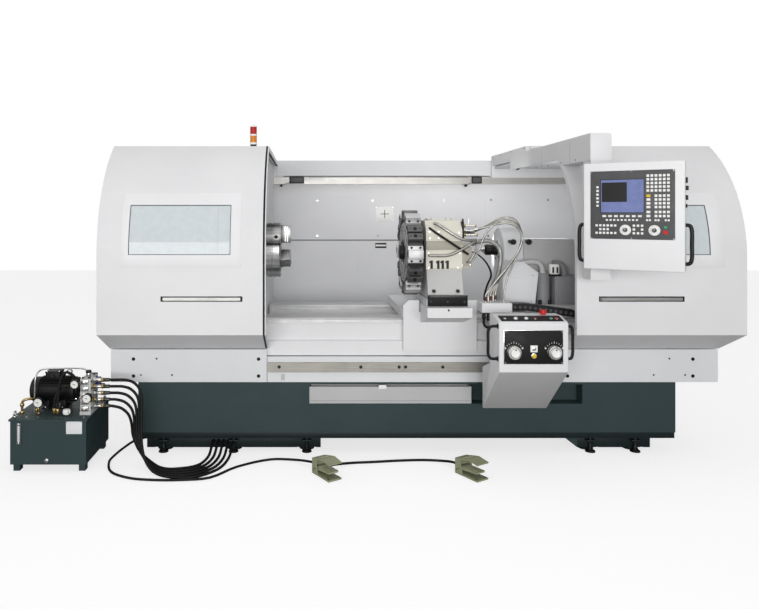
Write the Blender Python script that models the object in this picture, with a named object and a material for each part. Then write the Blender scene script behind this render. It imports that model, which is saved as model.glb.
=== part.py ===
"""Flat-bed turning lathe with sliding curved doors, a front turret, a travelling control box and a hydraulic unit.

Metres, +Z up, front of the machine towards -Y. Points below are in the machine's own frame: x = 0 midway between
the doors' outer ends, y = 0 at the doors' front plane, z = 0 at the floor. The frame's empty then sets the whole
machine with its origin at the middle of its footprint.
"""

import bmesh
import bpy
from math import asin, cos, pi, radians, sin, sqrt
from mathutils import Matrix, Vector

# Fits
TOUCH = 0.0003            # between pieces that rest on or are cut round each other
SLIDE_FIT = 0.0004        # under a slide that rides on its guideway
CLEAR = 0.006             # between a door's inner face and what it passes

# Overall
DOOR_X = (-2.040, 2.040)  # outer ends of the two doors
OPEN_X = (-0.997, 0.972)  # inner ends of the doors, as they stand open
REAR_Y = 1.990            # back of the machine

# Base and feet
BASE_X = (-1.852, 1.756)
BASE_Y = (0.300, REAR_Y)
BASE_Z = (0.100, 0.480)
RECESS_X = (-0.703, 1.131)
RECESS_Z = (0.335, 0.465)
PEDESTAL_LEFT_X = (-1.807, -0.6245)
PEDESTAL_RIGHT_X = (1.019, 1.616)
PEDESTAL_Y = (0.360, 1.850)
FOOT_R = 0.038

# Bed and guideways
BED_X = (-1.000, 1.720)
BED_TOP = 0.870
WAY_TOP = 0.905
WAY_FRONT_Y = (0.342, 0.520)
WAY_REAR_Y = (0.980, 1.158)
LEDGE_Y = 0.330
LEDGE_Z = (0.655, 0.750)

# Doors
DOOR_T = 0.030
DOOR_ARC_R = 0.894        # radius of the curved front
DOOR_ARC_Z = 1.330        # height at which the curve starts
DOOR_ARC_TURN = asin(0.745 / 0.894)  # how far the curve turns before it meets the roof
DOOR_LIP_Z = 0.850        # front lower corner
DOOR_LIP_Y = 0.290        # rear end of the sloping lower lip
DOOR_ROOF_Z = DOOR_ARC_Z + DOOR_ARC_R * sin(DOOR_ARC_TURN)
DOOR_REAR_Y = 1.930
RAIL_Z = (DOOR_ROOF_Z - 0.195, DOOR_ROOF_Z - 0.137)
DOOR_FLANGE_Z = RAIL_Z[1] + SLIDE_FIT  # lower end of the rear flange, which rides on the rail
RIB_Z = DOOR_ROOF_Z - 0.099  # lower edge of the rib under the right door's roof
GUARD_X = (DOOR_X[0] + 0.004, DOOR_X[1] + 0.001)
GUARD_Y = REAR_Y - 0.040
WINDOW_X = 0.641
WINDOW_LEFT = -1.841      # left end of the left window
WINDOW_RIGHT = 1.811      # right end of the right window
WINDOW_Z = (1.353, 1.667)
WINDOW_INSET = 0.002
PANE_T = 0.010
HANDLE_X = ((-1.631, -1.131), (1.118, 1.641))
HANDLE_Z = (1.067, 1.086)
HANDLE_GAP = 0.007        # round the bar in its recess

# Spindle
SPINDLE_Y, SPINDLE_Z = 0.750, 1.345
CHUCK_R = 0.200
CHUCK_X = (-1.0127, -0.907)
JAW_TIP_X = -0.835

# Carriage
SADDLE_X = (-0.071, 0.410)
SADDLE_TOP = 0.960
APRON_Y = (0.303, 0.319)
APRON_Z = (0.690, 1.030)
CROSS_X = (0.055, 0.320)
CROSS_Y = (0.130, 0.950)

# Turret
STATIONS = 12
TURRET_Y, TURRET_Z = 0.360, 1.350
TURRET_R = 0.236
TOOL_R = 0.290
TURRET_X = (-0.072, 0.028)
HOUSING_X = (0.064, 0.302)

# Control box
BOX_X = (0.410, 0.819)
BOX_FRONT_Y = -0.260
WHEEL_X = (0.495, 0.732)
WHEEL_Z = 0.797
WHEEL_R = 0.041
STOP_AT = (0.716, -0.122)

# Tailstock
TAIL_X = (0.760, 1.230)
TAIL_BASE_Z = 0.985
QUILL_R = 0.045
QUILL_X = (0.620, 1.100)

# Operator panel
PIVOT = (1.036, -0.235)
PANEL_W, PANEL_T = 0.511, 0.100
ARM_Z = DOOR_ROOF_Z - 0.143  # underside of the arm in front of the doors
PANEL_Z = (ARM_Z - 0.637, ARM_Z - 0.032)
BOSS_Z = (PANEL_Z[0] + 0.1753, PANEL_Z[0] + 0.4347)
PANEL_TURN = radians(-33.25)
PANEL_BACK = 0.066        # from the pivot's axis to the panel's back

# Hydraulic unit
TANK_X = (-2.572, -2.098)
TANK_Y = (-0.020, 0.460)
TANK_Z = (0.046, 0.329)
MOTOR_X = (-2.530, -2.225)
MOTOR_AT = (0.235, 0.452)
MOTOR_R = 0.088

HOSES = 5                 # from the valves to the base
HOSE_X, HOSE_Z, HOSE_STEP = -1.9897, 0.542, 0.042

# Foot pedals
PEDAL_X, PEDAL_Y = (-0.648, 0.242), -0.004
PEDAL_TURN = radians(-58)
PEDAL_W = 0.095
PEDAL_PIVOT = (0.032, 0.040)


# Colours as the object shows them: sRGB red, green, blue, roughness, metallic
WHITE = (0.86, 0.86, 0.85, 0.42, 0.0)
GREY = (0.72, 0.72, 0.73, 0.45, 0.0)
CREAM = (0.80, 0.79, 0.76, 0.45, 0.0)
GREEN = (0.22, 0.275, 0.28, 0.5, 0.0)
OLIVE = (0.46, 0.48, 0.36, 0.5, 0.0)
BLACK = (0.06, 0.06, 0.065, 0.45, 0.0)
RUBBER = (0.05, 0.05, 0.05, 0.75, 0.0)
STEEL = (0.66, 0.65, 0.63, 0.28, 1.0)
DARK_STEEL = (0.36, 0.36, 0.36, 0.35, 1.0)
GLASS = (0.80, 0.83, 0.84, 0.08, 0.0)
RED = (0.75, 0.09, 0.08, 0.4, 0.0)

for old in list(bpy.data.objects):
    bpy.data.objects.remove(old, do_unlink=True)

machine = bpy.data.objects.new("machine_frame", None)
bpy.context.collection.objects.link(machine)


def linear(c):
    return c / 12.92 if c <= 0.04045 else ((c + 0.055) / 1.055) ** 2.4


def paint(obj, look):
    """Give the object a material of its own in the colour, roughness and metallic value of look."""
    r, g, b, rough, metal = look
    material = bpy.data.materials.new(obj.name + "_finish")
    material.use_nodes = True
    shader = material.node_tree.nodes["Principled BSDF"]
    shader.inputs["Base Color"].default_value = (linear(r), linear(g), linear(b), 1.0)
    shader.inputs["Roughness"].default_value = rough
    shader.inputs["Metallic"].default_value = metal
    if look is GLASS:
        shader.inputs["Alpha"].default_value = 0.45
    obj.data.materials.append(material)


def place(bm, name, look=None, origin=(0.0, 0.0, 0.0), smooth=False):
    """Turn a bmesh into an object whose origin is at the given point of the machine frame."""
    bmesh.ops.remove_doubles(bm, verts=bm.verts, dist=1e-5)
    bmesh.ops.recalc_face_normals(bm, faces=bm.faces)
    bmesh.ops.translate(bm, verts=bm.verts, vec=-Vector(origin))
    mesh = bpy.data.meshes.new(name)
    bm.to_mesh(mesh)
    bm.free()
    if smooth:
        mesh.shade_smooth()
        mesh.set_sharp_from_angle(angle=radians(35))
    obj = bpy.data.objects.new(name, mesh)
    bpy.context.collection.objects.link(obj)
    obj.parent = machine
    obj.location = origin
    if look:
        paint(obj, look)
    return obj


def add_box(bm, x, y, z):
    """A box between the pairs of bounds, added to the bmesh."""
    made = bmesh.ops.create_cube(bm, size=1.0)["verts"]
    size = Vector((x[1] - x[0], y[1] - y[0], z[1] - z[0]))
    centre = Vector(((x[0] + x[1]) / 2, (y[0] + y[1]) / 2, (z[0] + z[1]) / 2))
    bmesh.ops.scale(bm, verts=made, vec=size)
    bmesh.ops.translate(bm, verts=made, vec=centre)
    return made


def add_rod(bm, axis, at, span, r, r2=None, sides=32):
    """A cylinder or cone along an axis: at gives its centre on the two other axes, span its ends."""
    depth = span[1] - span[0]
    made = bmesh.ops.create_cone(bm, cap_ends=True, segments=sides, radius1=r, radius2=r if r2 is None else r2,
                                 depth=depth)["verts"]
    mid = (span[0] + span[1]) / 2
    if axis == "X":
        turn, centre = Matrix.Rotation(pi / 2, 4, "Y"), (mid, at[0], at[1])
    elif axis == "Y":
        turn, centre = Matrix.Rotation(-pi / 2, 4, "X"), (at[0], mid, at[1])
    else:
        turn, centre = Matrix.Identity(4), (at[0], at[1], mid)
    bmesh.ops.transform(bm, matrix=Matrix.Translation(centre) @ turn, verts=made)
    return made


def add_prism(bm, outline, axis, span):
    """An outline on the plane across the axis, extruded between the two ends of span."""
    spot = {"X": lambda p, a: (a, p[0], p[1]), "Y": lambda p, a: (p[0], a, p[1]),
            "Z": lambda p, a: (p[0], p[1], a)}[axis]
    face = bm.faces.new([bm.verts.new(spot(p, span[0])) for p in outline])
    moved = bmesh.ops.extrude_face_region(bm, geom=[face])["geom"]
    step = Vector(spot((0.0, 0.0), span[1] - span[0]))
    top = [v for v in moved if isinstance(v, bmesh.types.BMVert)]
    bmesh.ops.translate(bm, verts=top, vec=step)
    return list(face.verts) + top


def add_turned(bm, at, profile, sides):
    """A profile of (x, radius) points, from axis to axis, turned about the line along x at (y, z)."""
    verts = [bm.verts.new((x, at[0], at[1] + r)) for x, r in profile]
    edges = [bm.edges.new(pair) for pair in zip(verts, verts[1:])]
    bmesh.ops.spin(bm, geom=verts + edges, cent=(0.0, *at), axis=(1.0, 0.0, 0.0), dvec=(0.0, 0.0, 0.0),
                   angle=2 * pi, steps=sides, use_merge=True)


def box(name, x, y, z, look, origin=(0.0, 0.0, 0.0), edge=0.0):
    bm = bmesh.new()
    add_box(bm, x, y, z)
    obj = place(bm, name, look, origin)
    return soften(obj, edge) if edge else obj


def rod(name, axis, at, span, r, look, origin=(0.0, 0.0, 0.0), sides=32):
    bm = bmesh.new()
    add_rod(bm, axis, at, span, r, sides=sides)
    return place(bm, name, look, origin, smooth=True)


def prism(name, outline, axis, span, look, origin=(0.0, 0.0, 0.0), edge=0.0):
    bm = bmesh.new()
    add_prism(bm, outline, axis, span)
    obj = place(bm, name, look, origin, smooth=len(outline) > 14)
    return soften(obj, edge) if edge else obj


def soften(obj, width, segments=2):
    mod = obj.modifiers.new("edges", "BEVEL")
    mod.width, mod.segments, mod.limit_method = width, segments, "ANGLE"
    mod.angle_limit = radians(50)
    return obj


def combine(obj, bm, operation="UNION"):
    """Join to the object, or cut from it, the solid in the bmesh."""
    tool = place(bm, obj.name + "_" + operation.lower() + str(len(obj.modifiers)))
    tool.hide_render, tool.display_type = True, "WIRE"
    mod = obj.modifiers.new(operation.lower(), "BOOLEAN")
    mod.operation, mod.solver, mod.object = operation, "EXACT", tool
    return obj


def cut_box(obj, *bounds):
    """Cut one or more boxes out of the object."""
    bm = bmesh.new()
    for x, y, z in bounds:
        add_box(bm, x, y, z)
    return combine(obj, bm, "DIFFERENCE")


def arc(cy, cz, r, start, end, steps):
    return [(cy + r * cos(start + (end - start) * i / steps), cz + r * sin(start + (end - start) * i / steps))
            for i in range(steps + 1)]


def tube(name, route, dia, look, sides=2, per_span=4):
    """A hose or cable with straight ends and a smooth curve through the route's points, filled at both ends."""
    knots = [Vector(p) for p in route]
    points = [knots[0]]
    for a, b, c, d in zip(knots, knots[1:], knots[2:], knots[3:]):
        lean_b = (c - a) * (c - b).length / ((b - a).length + (c - b).length)
        lean_c = (d - b) * (c - b).length / ((c - b).length + (d - c).length)
        for k in range(per_span):
            t = k / per_span
            points.append((2 * t ** 3 - 3 * t * t + 1) * b + (t ** 3 - 2 * t * t + t) * lean_b
                          + (3 * t * t - 2 * t ** 3) * c + (t ** 3 - t * t) * lean_c)
    points += [knots[-2], knots[-1]]
    curve = bpy.data.curves.new(name, "CURVE")
    curve.dimensions, curve.bevel_depth, curve.bevel_resolution = "3D", dia / 2, sides
    curve.use_fill_caps = True
    spline = curve.splines.new("POLY")
    spline.points.add(len(points) - 1)
    for point, p in zip(spline.points, points):
        point.co = (*p, 1.0)
    obj = bpy.data.objects.new(name, curve)
    bpy.context.collection.objects.link(obj)
    obj.parent = machine
    paint(obj, look)
    return obj


# The doors' section, and everything that follows it

LIP_DIR = Vector((DOOR_LIP_Y, -0.142)).normalized()
LIP_IN = (-LIP_DIR.y, LIP_DIR.x)


def door_line(d, lip_y=DOOR_LIP_Y, rear_y=DOOR_REAR_Y, steps=14):
    """The doors' outer line moved inwards by d, from the lip's rear end up over the curve to the roof's rear."""
    centre_y = DOOR_ARC_R
    r = DOOR_ARC_R - d
    end = (d - LIP_IN[0] * lip_y) / LIP_IN[1] + DOOR_LIP_Z
    corner = DOOR_LIP_Z + d * (1 - LIP_IN[0]) / LIP_IN[1]
    rise = DOOR_ROOF_Z - d - DOOR_ARC_Z
    top = pi - asin(rise / r)
    return ([(lip_y, end), (d, corner)] + arc(centre_y, DOOR_ARC_Z, r, pi, top, steps)
            + [(rear_y, DOOR_ROOF_Z - d)])


def door_y(z, d=0.0):
    """How far back the doors' outer line, moved inwards by d, lies at height z."""
    if z <= DOOR_ARC_Z:
        return d
    r = DOOR_ARC_R - d
    return DOOR_ARC_R - sqrt(r * r - (z - DOOR_ARC_Z) ** 2)


def base_and_feet():
    base = box("base_stand", BASE_X, BASE_Y, BASE_Z, GREEN)
    cut_box(base, (RECESS_X, (0.2, 0.400), RECESS_Z))
    cut_box(base, ((-2.0, 2.0), (0.2, 0.312), (0.05, 0.142)))
    legs = bmesh.new()
    for (x0, x1), slant in ((PEDESTAL_LEFT_X, 0.0), (PEDESTAL_RIGHT_X, 0.10)):
        add_prism(legs, [(x0 + slant, 0.022), (x1, 0.022), (x1, 0.130), (x0, 0.130), (x0, 0.0997)], "Y", PEDESTAL_Y)
    combine(base, legs)
    feet, notches = bmesh.new(), []
    for x in (-1.690, -1.216, -0.720, 1.200, 1.505):
        for y in (PEDESTAL_Y[0] + 0.06, PEDESTAL_Y[1] - 0.06):
            add_rod(feet, "Z", (x, y), (0.0, 0.050), FOOT_R, sides=16)
        notches += [((x + a, x + a + 0.020), (0.3, PEDESTAL_Y[0] + 0.015), (0.0, 0.050)) for a in (-0.065, 0.045)]
    cut_box(base, *notches)
    combine(base, feet)
    trough = box("cable_trough", (RECESS_X[0] + TOUCH, 0.387), (0.306, 0.380), (RECESS_Z[0] + TOUCH, 0.448), GREY)
    cut_box(trough, ((RECESS_X[0] + 0.012, 0.375), (0.314, 0.372), (0.350, 0.50)))


def bed_and_guideways():
    outline = [(0.3703, 0.4803), (0.3703, LEDGE_Z[0]), (LEDGE_Y, LEDGE_Z[0]), (LEDGE_Y, LEDGE_Z[1]),
               (0.350, 0.757), (0.350, BED_TOP), (0.560, BED_TOP), (0.560, 0.700), (0.940, 0.640),
               (0.940, BED_TOP), (1.150, BED_TOP), (1.150, 0.4803)]
    prism("bed", outline, "X", BED_X, WHITE)
    for name, (y0, y1) in (("guideway_front", WAY_FRONT_Y), ("guideway_rear", WAY_REAR_Y)):
        z0 = BED_TOP + TOUCH
        way = [(y0, z0), (y1, z0), (y1, WAY_TOP - 0.012), (y1 - 0.012, WAY_TOP), (y0 + 0.012, WAY_TOP),
               (y0, WAY_TOP - 0.012)]
        prism(name, way, "X", BED_X, STEEL)
    box("front_rail_carrier", (-0.985, 0.985), (0.300, 0.370), (0.4803, 0.650), WHITE)
    rail = box("control_box_rail", (-0.980, 0.980), (0.289, 0.2997), (0.548, 0.615), STEEL)
    cut_box(rail, ((-0.074, -0.071), (0.28, 0.292), (0.54, 0.62)))


def skirts():
    z = (BASE_Z[1] + TOUCH, 0.700)
    for name, x, side in (("front_skirt_left", (GUARD_X[0], -0.9885), (GUARD_X[0], GUARD_X[0] + 0.018)),
                          ("front_skirt_right", (0.9885, GUARD_X[1]), (GUARD_X[1] - 0.018, GUARD_X[1]))):
        skirt = box(name, x, (0.300, 0.320), z, GREY)
        wing = bmesh.new()
        add_box(wing, side, (0.310, GUARD_Y - TOUCH), z)
        combine(skirt, wing)


def rear_guard():
    top = DOOR_ROOF_Z - 0.118
    panel = box("rear_panel", GUARD_X, (GUARD_Y, REAR_Y), (BASE_Z[1] + TOUCH, top - TOUCH), GREY)
    deep, shallow = (1.80, GUARD_Y + 0.006), (1.80, GUARD_Y + 0.003)
    cut_box(panel, ((-3.0, 3.0), deep, (1.364, 1.371)), ((-3.0, 3.0), shallow, (1.752, 1.758)),
            ((0.9195, 0.9225), shallow, (1.380, 1.748)), ((-0.252, -0.249), shallow, (0.50, 1.360)))
    fascia = box("rear_fascia", GUARD_X, (GUARD_Y - 0.008, REAR_Y + 0.010), (top, DOOR_ROOF_Z + 0.021), GREY)
    cut_box(fascia, ((-3.0, 3.0), (1.80, GUARD_Y - 0.005), (top + 0.039, top + 0.043)))
    rail = box("door_rail", (GUARD_X[0] + 0.026, GUARD_X[1] - 0.026), (DOOR_REAR_Y - 0.022, GUARD_Y - TOUCH),
               RAIL_Z, STEEL)
    cut_box(rail, ((-3.0, 3.0), (1.80, DOOR_REAR_Y - 0.016), (RAIL_Z[0] + 0.020, RAIL_Z[0] + 0.038)))


def headstock_and_hood():
    body = door_line(DOOR_T + CLEAR, lip_y=0.345, rear_y=1.900)
    housing = prism("headstock_housing", [(0.345, 0.4806)] + body + [(1.900, 0.4806)], "X", (-2.010, -1.0203), GREY)
    ring = bmesh.new()
    add_rod(ring, "X", (SPINDLE_Y, SPINDLE_Z), (-1.030, -1.013), 0.150, sides=40)
    combine(housing, ring)
    outer = door_line(DOOR_T + CLEAR, rear_y=1.900)
    inner = door_line(DOOR_T + CLEAR + 0.020, rear_y=1.900)
    hood = prism("right_end_hood", outer + inner[::-1], "X", (1.000, 2.020), GREY)
    wall = bmesh.new()
    end = door_line(DOOR_T + CLEAR + 0.010, lip_y=0.285, rear_y=1.895)
    add_prism(wall, [(0.285, 0.7500)] + end[1:] + [(1.895, RAIL_Z[0] - 0.010), (GUARD_Y - TOUCH, RAIL_Z[0] - 0.010),
                          (GUARD_Y - TOUCH, 0.7500)], "X",
              (1.995, 2.0195))
    combine(hood, wall)


def chuck():
    at = (SPINDLE_Y, SPINDLE_Z)
    back, front = CHUCK_X
    origin = (front, *at)
    profile = [(back, 0.0), (back, CHUCK_R), (-0.971, CHUCK_R), (-0.971, CHUCK_R - 0.006), (-0.964, CHUCK_R - 0.006),
               (-0.964, CHUCK_R), (front - 0.006, CHUCK_R), (front, CHUCK_R - 0.006), (front, 0.052), (-0.985, 0.052),
               (-0.985, 0.0)]
    bm = bmesh.new()
    add_turned(bm, at, profile, 48)
    place(bm, "chuck_body", STEEL, origin, smooth=True)
    face = CHUCK_X[1] + TOUCH
    steps = [(0.050, face), (CHUCK_R - 0.015, face), (CHUCK_R - 0.015, -0.886), (CHUCK_R - 0.024, -0.886),
             (CHUCK_R - 0.024, JAW_TIP_X), (0.050, JAW_TIP_X)]
    for i in range(3):
        bm = bmesh.new()
        made = add_prism(bm, [(x, r) for r, x in steps], "Y", (-0.032, 0.032))
        turn = Matrix.Rotation(i * 2 * pi / 3, 4, "X")
        bmesh.ops.transform(bm, matrix=Matrix.Translation((0.0, *at)) @ turn, verts=made)
        place(bm, f"chuck_jaw_{i + 1}", DARK_STEEL, origin)


def doors():
    left, right = (WINDOW_LEFT, WINDOW_LEFT + WINDOW_X), (WINDOW_RIGHT - WINDOW_X, WINDOW_RIGHT)
    for side, x, wx, hx in (("left", (DOOR_X[0], OPEN_X[0] - TOUCH), left, HANDLE_X[0]),
                            ("right", (OPEN_X[1], DOOR_X[1]), right, HANDLE_X[1])):
        outer, inner = door_line(0.0), door_line(DOOR_T, rear_y=DOOR_REAR_Y - 0.020)
        flange = [(DOOR_REAR_Y, DOOR_FLANGE_Z), (DOOR_REAR_Y - 0.020, DOOR_FLANGE_Z)]
        door = prism(f"{side}_door", outer + flange + inner[::-1], "X", x, WHITE)
        cut_box(door, (wx, (-0.1, 0.3), WINDOW_Z))
        cut_box(door, ((hx[0] - HANDLE_GAP, hx[1] + HANDLE_GAP), (-0.1, 0.020),
                       (HANDLE_Z[0] - HANDLE_GAP, HANDLE_Z[1] + HANDLE_GAP)))
        if side == "right":
            rib = bmesh.new()
            under = [p for p in door_line(DOOR_T / 2) if p[1] > RIB_Z + 0.002 and p[0] < 1.30]
            add_prism(rib, [(under[0][0] + 0.004, RIB_Z)] + under + [(1.370, DOOR_ROOF_Z - DOOR_T / 2), (1.370, RIB_Z)],
                      "X", (x[0], x[0] + 0.012))
            combine(door, rib)
        pane_z = [WINDOW_Z[0] + TOUCH + (WINDOW_Z[1] - WINDOW_Z[0] - 2 * TOUCH) * i / 8 for i in range(9)]
        front = [(door_y(z, WINDOW_INSET), z) for z in pane_z]
        back = [(door_y(z, WINDOW_INSET + PANE_T), z) for z in pane_z]
        prism(f"{side}_door_window", front + back[::-1], "X", (wx[0] + TOUCH, wx[1] - TOUCH), GLASS)
        grip = [(hx[0], 0.0197), (hx[0], 0.002), (hx[0] + 0.008, -0.006), (hx[1] - 0.008, -0.006), (hx[1], 0.002),
                (hx[1], 0.0197), (hx[1] - 0.018, 0.0197), (hx[1] - 0.018, 0.008), (hx[0] + 0.018, 0.008),
                (hx[0] + 0.018, 0.0197)]
        prism(f"{side}_door_handle", grip, "Z", HANDLE_Z, STEEL)
    outer, inner = door_line(0.0), door_line(DOOR_T)
    prism("left_door_seal", outer + inner[::-1], "X", (OPEN_X[0], -0.985), RUBBER)


def beacon():
    x, y, z = -1.101, 0.600, DOOR_ROOF_Z + TOUCH
    lamp = rod("beacon_lamp", "Z", (x, y), (z, z + 0.168), 0.024, RED, sides=24)
    rings = bmesh.new()
    for z0, z1 in ((-0.0, 0.024), (0.072, 0.094), (0.160, 0.168)):
        add_rod(rings, "Z", (x, y), (z + z0, z + z1), 0.027, sides=24)
    combine(lamp, rings)


def carriage():
    low = WAY_TOP + SLIDE_FIT
    x0, x1 = SADDLE_X
    saddle = box("saddle", SADDLE_X, (WAY_FRONT_Y[0], WAY_REAR_Y[1]), (low, SADDLE_TOP), WHITE)
    nose = bmesh.new()
    add_prism(nose, [(0.3193, 0.780), (0.3355, 0.780), (0.3355, 0.912), (0.420, 0.912), (0.420, 0.950),
                     (0.3193, 0.950)], "X", (x0 + 0.004, x1 - 0.004))
    combine(saddle, nose)
    guide = bmesh.new()
    add_box(guide, CROSS_X, (0.345, 1.155), (0.930, 1.012))
    combine(saddle, guide)
    front = [(0.050, 0.950), (0.050, 1.012), (0.3447, 1.012), (0.3447, 0.9605), (0.3015, 0.9605), (0.3015, 0.882)]
    prism("saddle_front_cover", front, "X", (CROSS_X[0] - 0.010, CROSS_X[1] + 0.010), WHITE)
    right = x1 + 0.012
    n0, n1 = CROSS_X[0] - 0.020, CROSS_X[1] + 0.020
    apron = [(x0, APRON_Z[0]), (right, APRON_Z[0]), (right, APRON_Z[1]), (n1, APRON_Z[1]), (n1, 0.952), (n0, 0.952),
             (n0, APRON_Z[1]), (x0 + 0.035, APRON_Z[1]), (x0, APRON_Z[1] - 0.035)]
    prism("apron_cover", apron, "Y", APRON_Y, WHITE)
    box("junction_box", (right + TOUCH, 0.619), (0.170, 0.330), (0.965, 1.026), WHITE)
    arm = [(0.319, 0.760), (0.303, 0.760), (0.303, 0.698), (0.240, 0.692), (0.1173, 0.636), (0.1173, 0.600),
           (0.262, 0.600), (0.262, 0.530), (0.283, 0.530), (0.283, 0.657), (0.319, 0.657)]
    link = prism("carriage_link", arm, "X", (0.500, 0.800), GREY)
    riser = bmesh.new()
    add_box(riser, (0.500, 0.610), (0.3035, 0.3185), (0.700, 0.9647))
    combine(link, riser)
    chain = [(0.6193, 0.972), (0.6193, 1.018), (0.720, 1.018), (1.050, 0.975), (1.050, 0.925), (0.720, 0.972)]
    prism("energy_chain", chain, "Y", (0.215, 0.290), BLACK)


def cross_slide_and_turret():
    low = 1.012 + SLIDE_FIT
    slide = box("cross_slide", CROSS_X, CROSS_Y, (low, 1.058), GREY)
    wiper = bmesh.new()
    add_box(wiper, (0.062, 0.312), (0.118, 0.140), (1.014, 1.085))
    combine(slide, wiper)
    centre = (TURRET_Y, TURRET_Z)
    body = [(0.215, 1.240), (0.205, 1.255), (0.205, 1.500), (0.260, 1.566), (0.500, 1.566), (0.560, 1.520),
            (0.560, 1.240)]
    turret = prism("turret_body", body, "X", HOUSING_X, CREAM)
    side = bmesh.new()
    add_prism(side, [(0.215, 1.258), (0.215, 1.400), (0.229, 1.414), (0.450, 1.414), (0.450, 1.258)], "X",
              (HOUSING_X[1] - 0.010, 0.366))
    combine(turret, side)
    foot = bmesh.new()
    add_prism(foot, [(0.150, 1.0583), (0.620, 1.0583), (0.590, 1.100), (0.550, 1.260), (0.225, 1.260),
                     (0.160, 1.090)], "X", (HOUSING_X[0] + 0.006, HOUSING_X[1] - 0.003))
    combine(turret, foot)
    origin = (0.0, *centre)
    disc = [(TURRET_R * cos(2 * pi * (i + 0.5) / STATIONS) / cos(pi / STATIONS) + centre[0],
             TURRET_R * sin(2 * pi * (i + 0.5) / STATIONS) / cos(pi / STATIONS) + centre[1])
            for i in range(STATIONS)]
    wheel = prism("turret_disc", disc, "X", (TURRET_X[0] + 0.012, TURRET_X[1]), STEEL, origin)
    core = bmesh.new()
    add_rod(core, "X", centre, (TURRET_X[0] - 0.020, TURRET_X[0] + 0.03), 0.052, sides=24)
    combine(wheel, core)
    neck = bmesh.new()
    add_rod(neck, "X", centre, (TURRET_X[1] - 0.02, HOUSING_X[0] - TOUCH), 0.125, 0.100,
            sides=32)
    combine(wheel, neck)
    slots = bmesh.new()
    for i in range(STATIONS):
        made = add_box(slots, (-0.10, 0.05), (-0.006, 0.006), (TURRET_R - 0.030, TURRET_R + 0.05))
        turn = Matrix.Rotation(2 * pi * (i + 0.5) / STATIONS, 4, "X")
        bmesh.ops.transform(slots, matrix=Matrix.Translation(origin) @ turn, verts=made)
    combine(wheel, slots, "DIFFERENCE")
    blocks = bmesh.new()
    low = TURRET_R - 0.010
    for i in range(STATIONS):
        if i % 2:
            made = add_box(blocks, (-0.070, 0.026), (-0.054, -0.029), (low, TURRET_R + 0.032))
            made += add_box(blocks, (-0.070, 0.026), (0.029, 0.054), (low, TURRET_R + 0.032))
            made += add_box(blocks, (-0.070, 0.026), (-0.0289, 0.0289), (low, TOOL_R))
        else:
            made = add_box(blocks, (-0.066, 0.026), (-0.048, -0.006), (low, TOOL_R - 0.006))
            made += add_box(blocks, (-0.066, 0.026), (0.006, 0.048), (low, TOOL_R - 0.006))
        turn = Matrix.Rotation(2 * pi * i / STATIONS, 4, "X")
        bmesh.ops.transform(blocks, matrix=Matrix.Translation(origin) @ turn, verts=made)
    combine(wheel, blocks)


def control_box():
    side = [(BOX_FRONT_Y, 0.677), (BOX_FRONT_Y, 0.960), (-0.247, 0.975), (-0.147, 0.997), (-0.050, 0.997),
            (-0.050, 0.690), (0.117, 0.628), (0.117, 0.369), (0.100, 0.362)]
    case = prism("control_box", side, "X", BOX_X, WHITE)
    plate = bmesh.new()
    add_box(plate, (0.439, 0.784), (BOX_FRONT_Y - 0.004, BOX_FRONT_Y + 0.010), (0.729, 0.925))
    combine(case, plate)
    for edge, reach in ((BOX_X[0], -0.066), (BOX_X[1], 0.040)):
        combine(case, c_grip(edge, reach, (-0.243, -0.225), (0.742, 0.956), 0.018))
    for name, x in (("handwheel_x", WHEEL_X[0]), ("handwheel_z", WHEEL_X[1])):
        face = BOX_FRONT_Y - 0.004 - TOUCH
        bm = bmesh.new()
        add_rod(bm, "Y", (x, WHEEL_Z), (face - 0.024, face), WHEEL_R - 0.004, WHEEL_R, sides=32)
        wheel = place(bm, name, STEEL, (x, face, WHEEL_Z), smooth=True)
        rim = bmesh.new()
        add_rod(rim, "Y", (x, WHEEL_Z), (face - 0.040, face - 0.020), 0.026, sides=24)
        combine(wheel, rim)
    stop = rod("emergency_stop", "Z", STOP_AT, (0.997 + TOUCH, 1.010), 0.013, RED, sides=20)
    head = bmesh.new()
    add_rod(head, "Z", STOP_AT, (1.006, 1.027), 0.023, 0.019, sides=20)
    combine(stop, head)


def c_grip(edge, reach, y, z, thick):
    """A square-cornered grip that stands off a side face at x = edge by reach."""
    inside, out = edge - (0.004 if reach > 0 else -0.004), edge + reach
    bar = out - thick if reach > 0 else out + thick
    bm = bmesh.new()
    outline = [(inside, z[0]), (out, z[0]), (out, z[1]), (inside, z[1]), (inside, z[1] - thick), (bar, z[1] - thick),
               (bar, z[0] + thick), (inside, z[0] + thick)]
    add_prism(bm, outline, "Y", y)
    return bm


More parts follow.
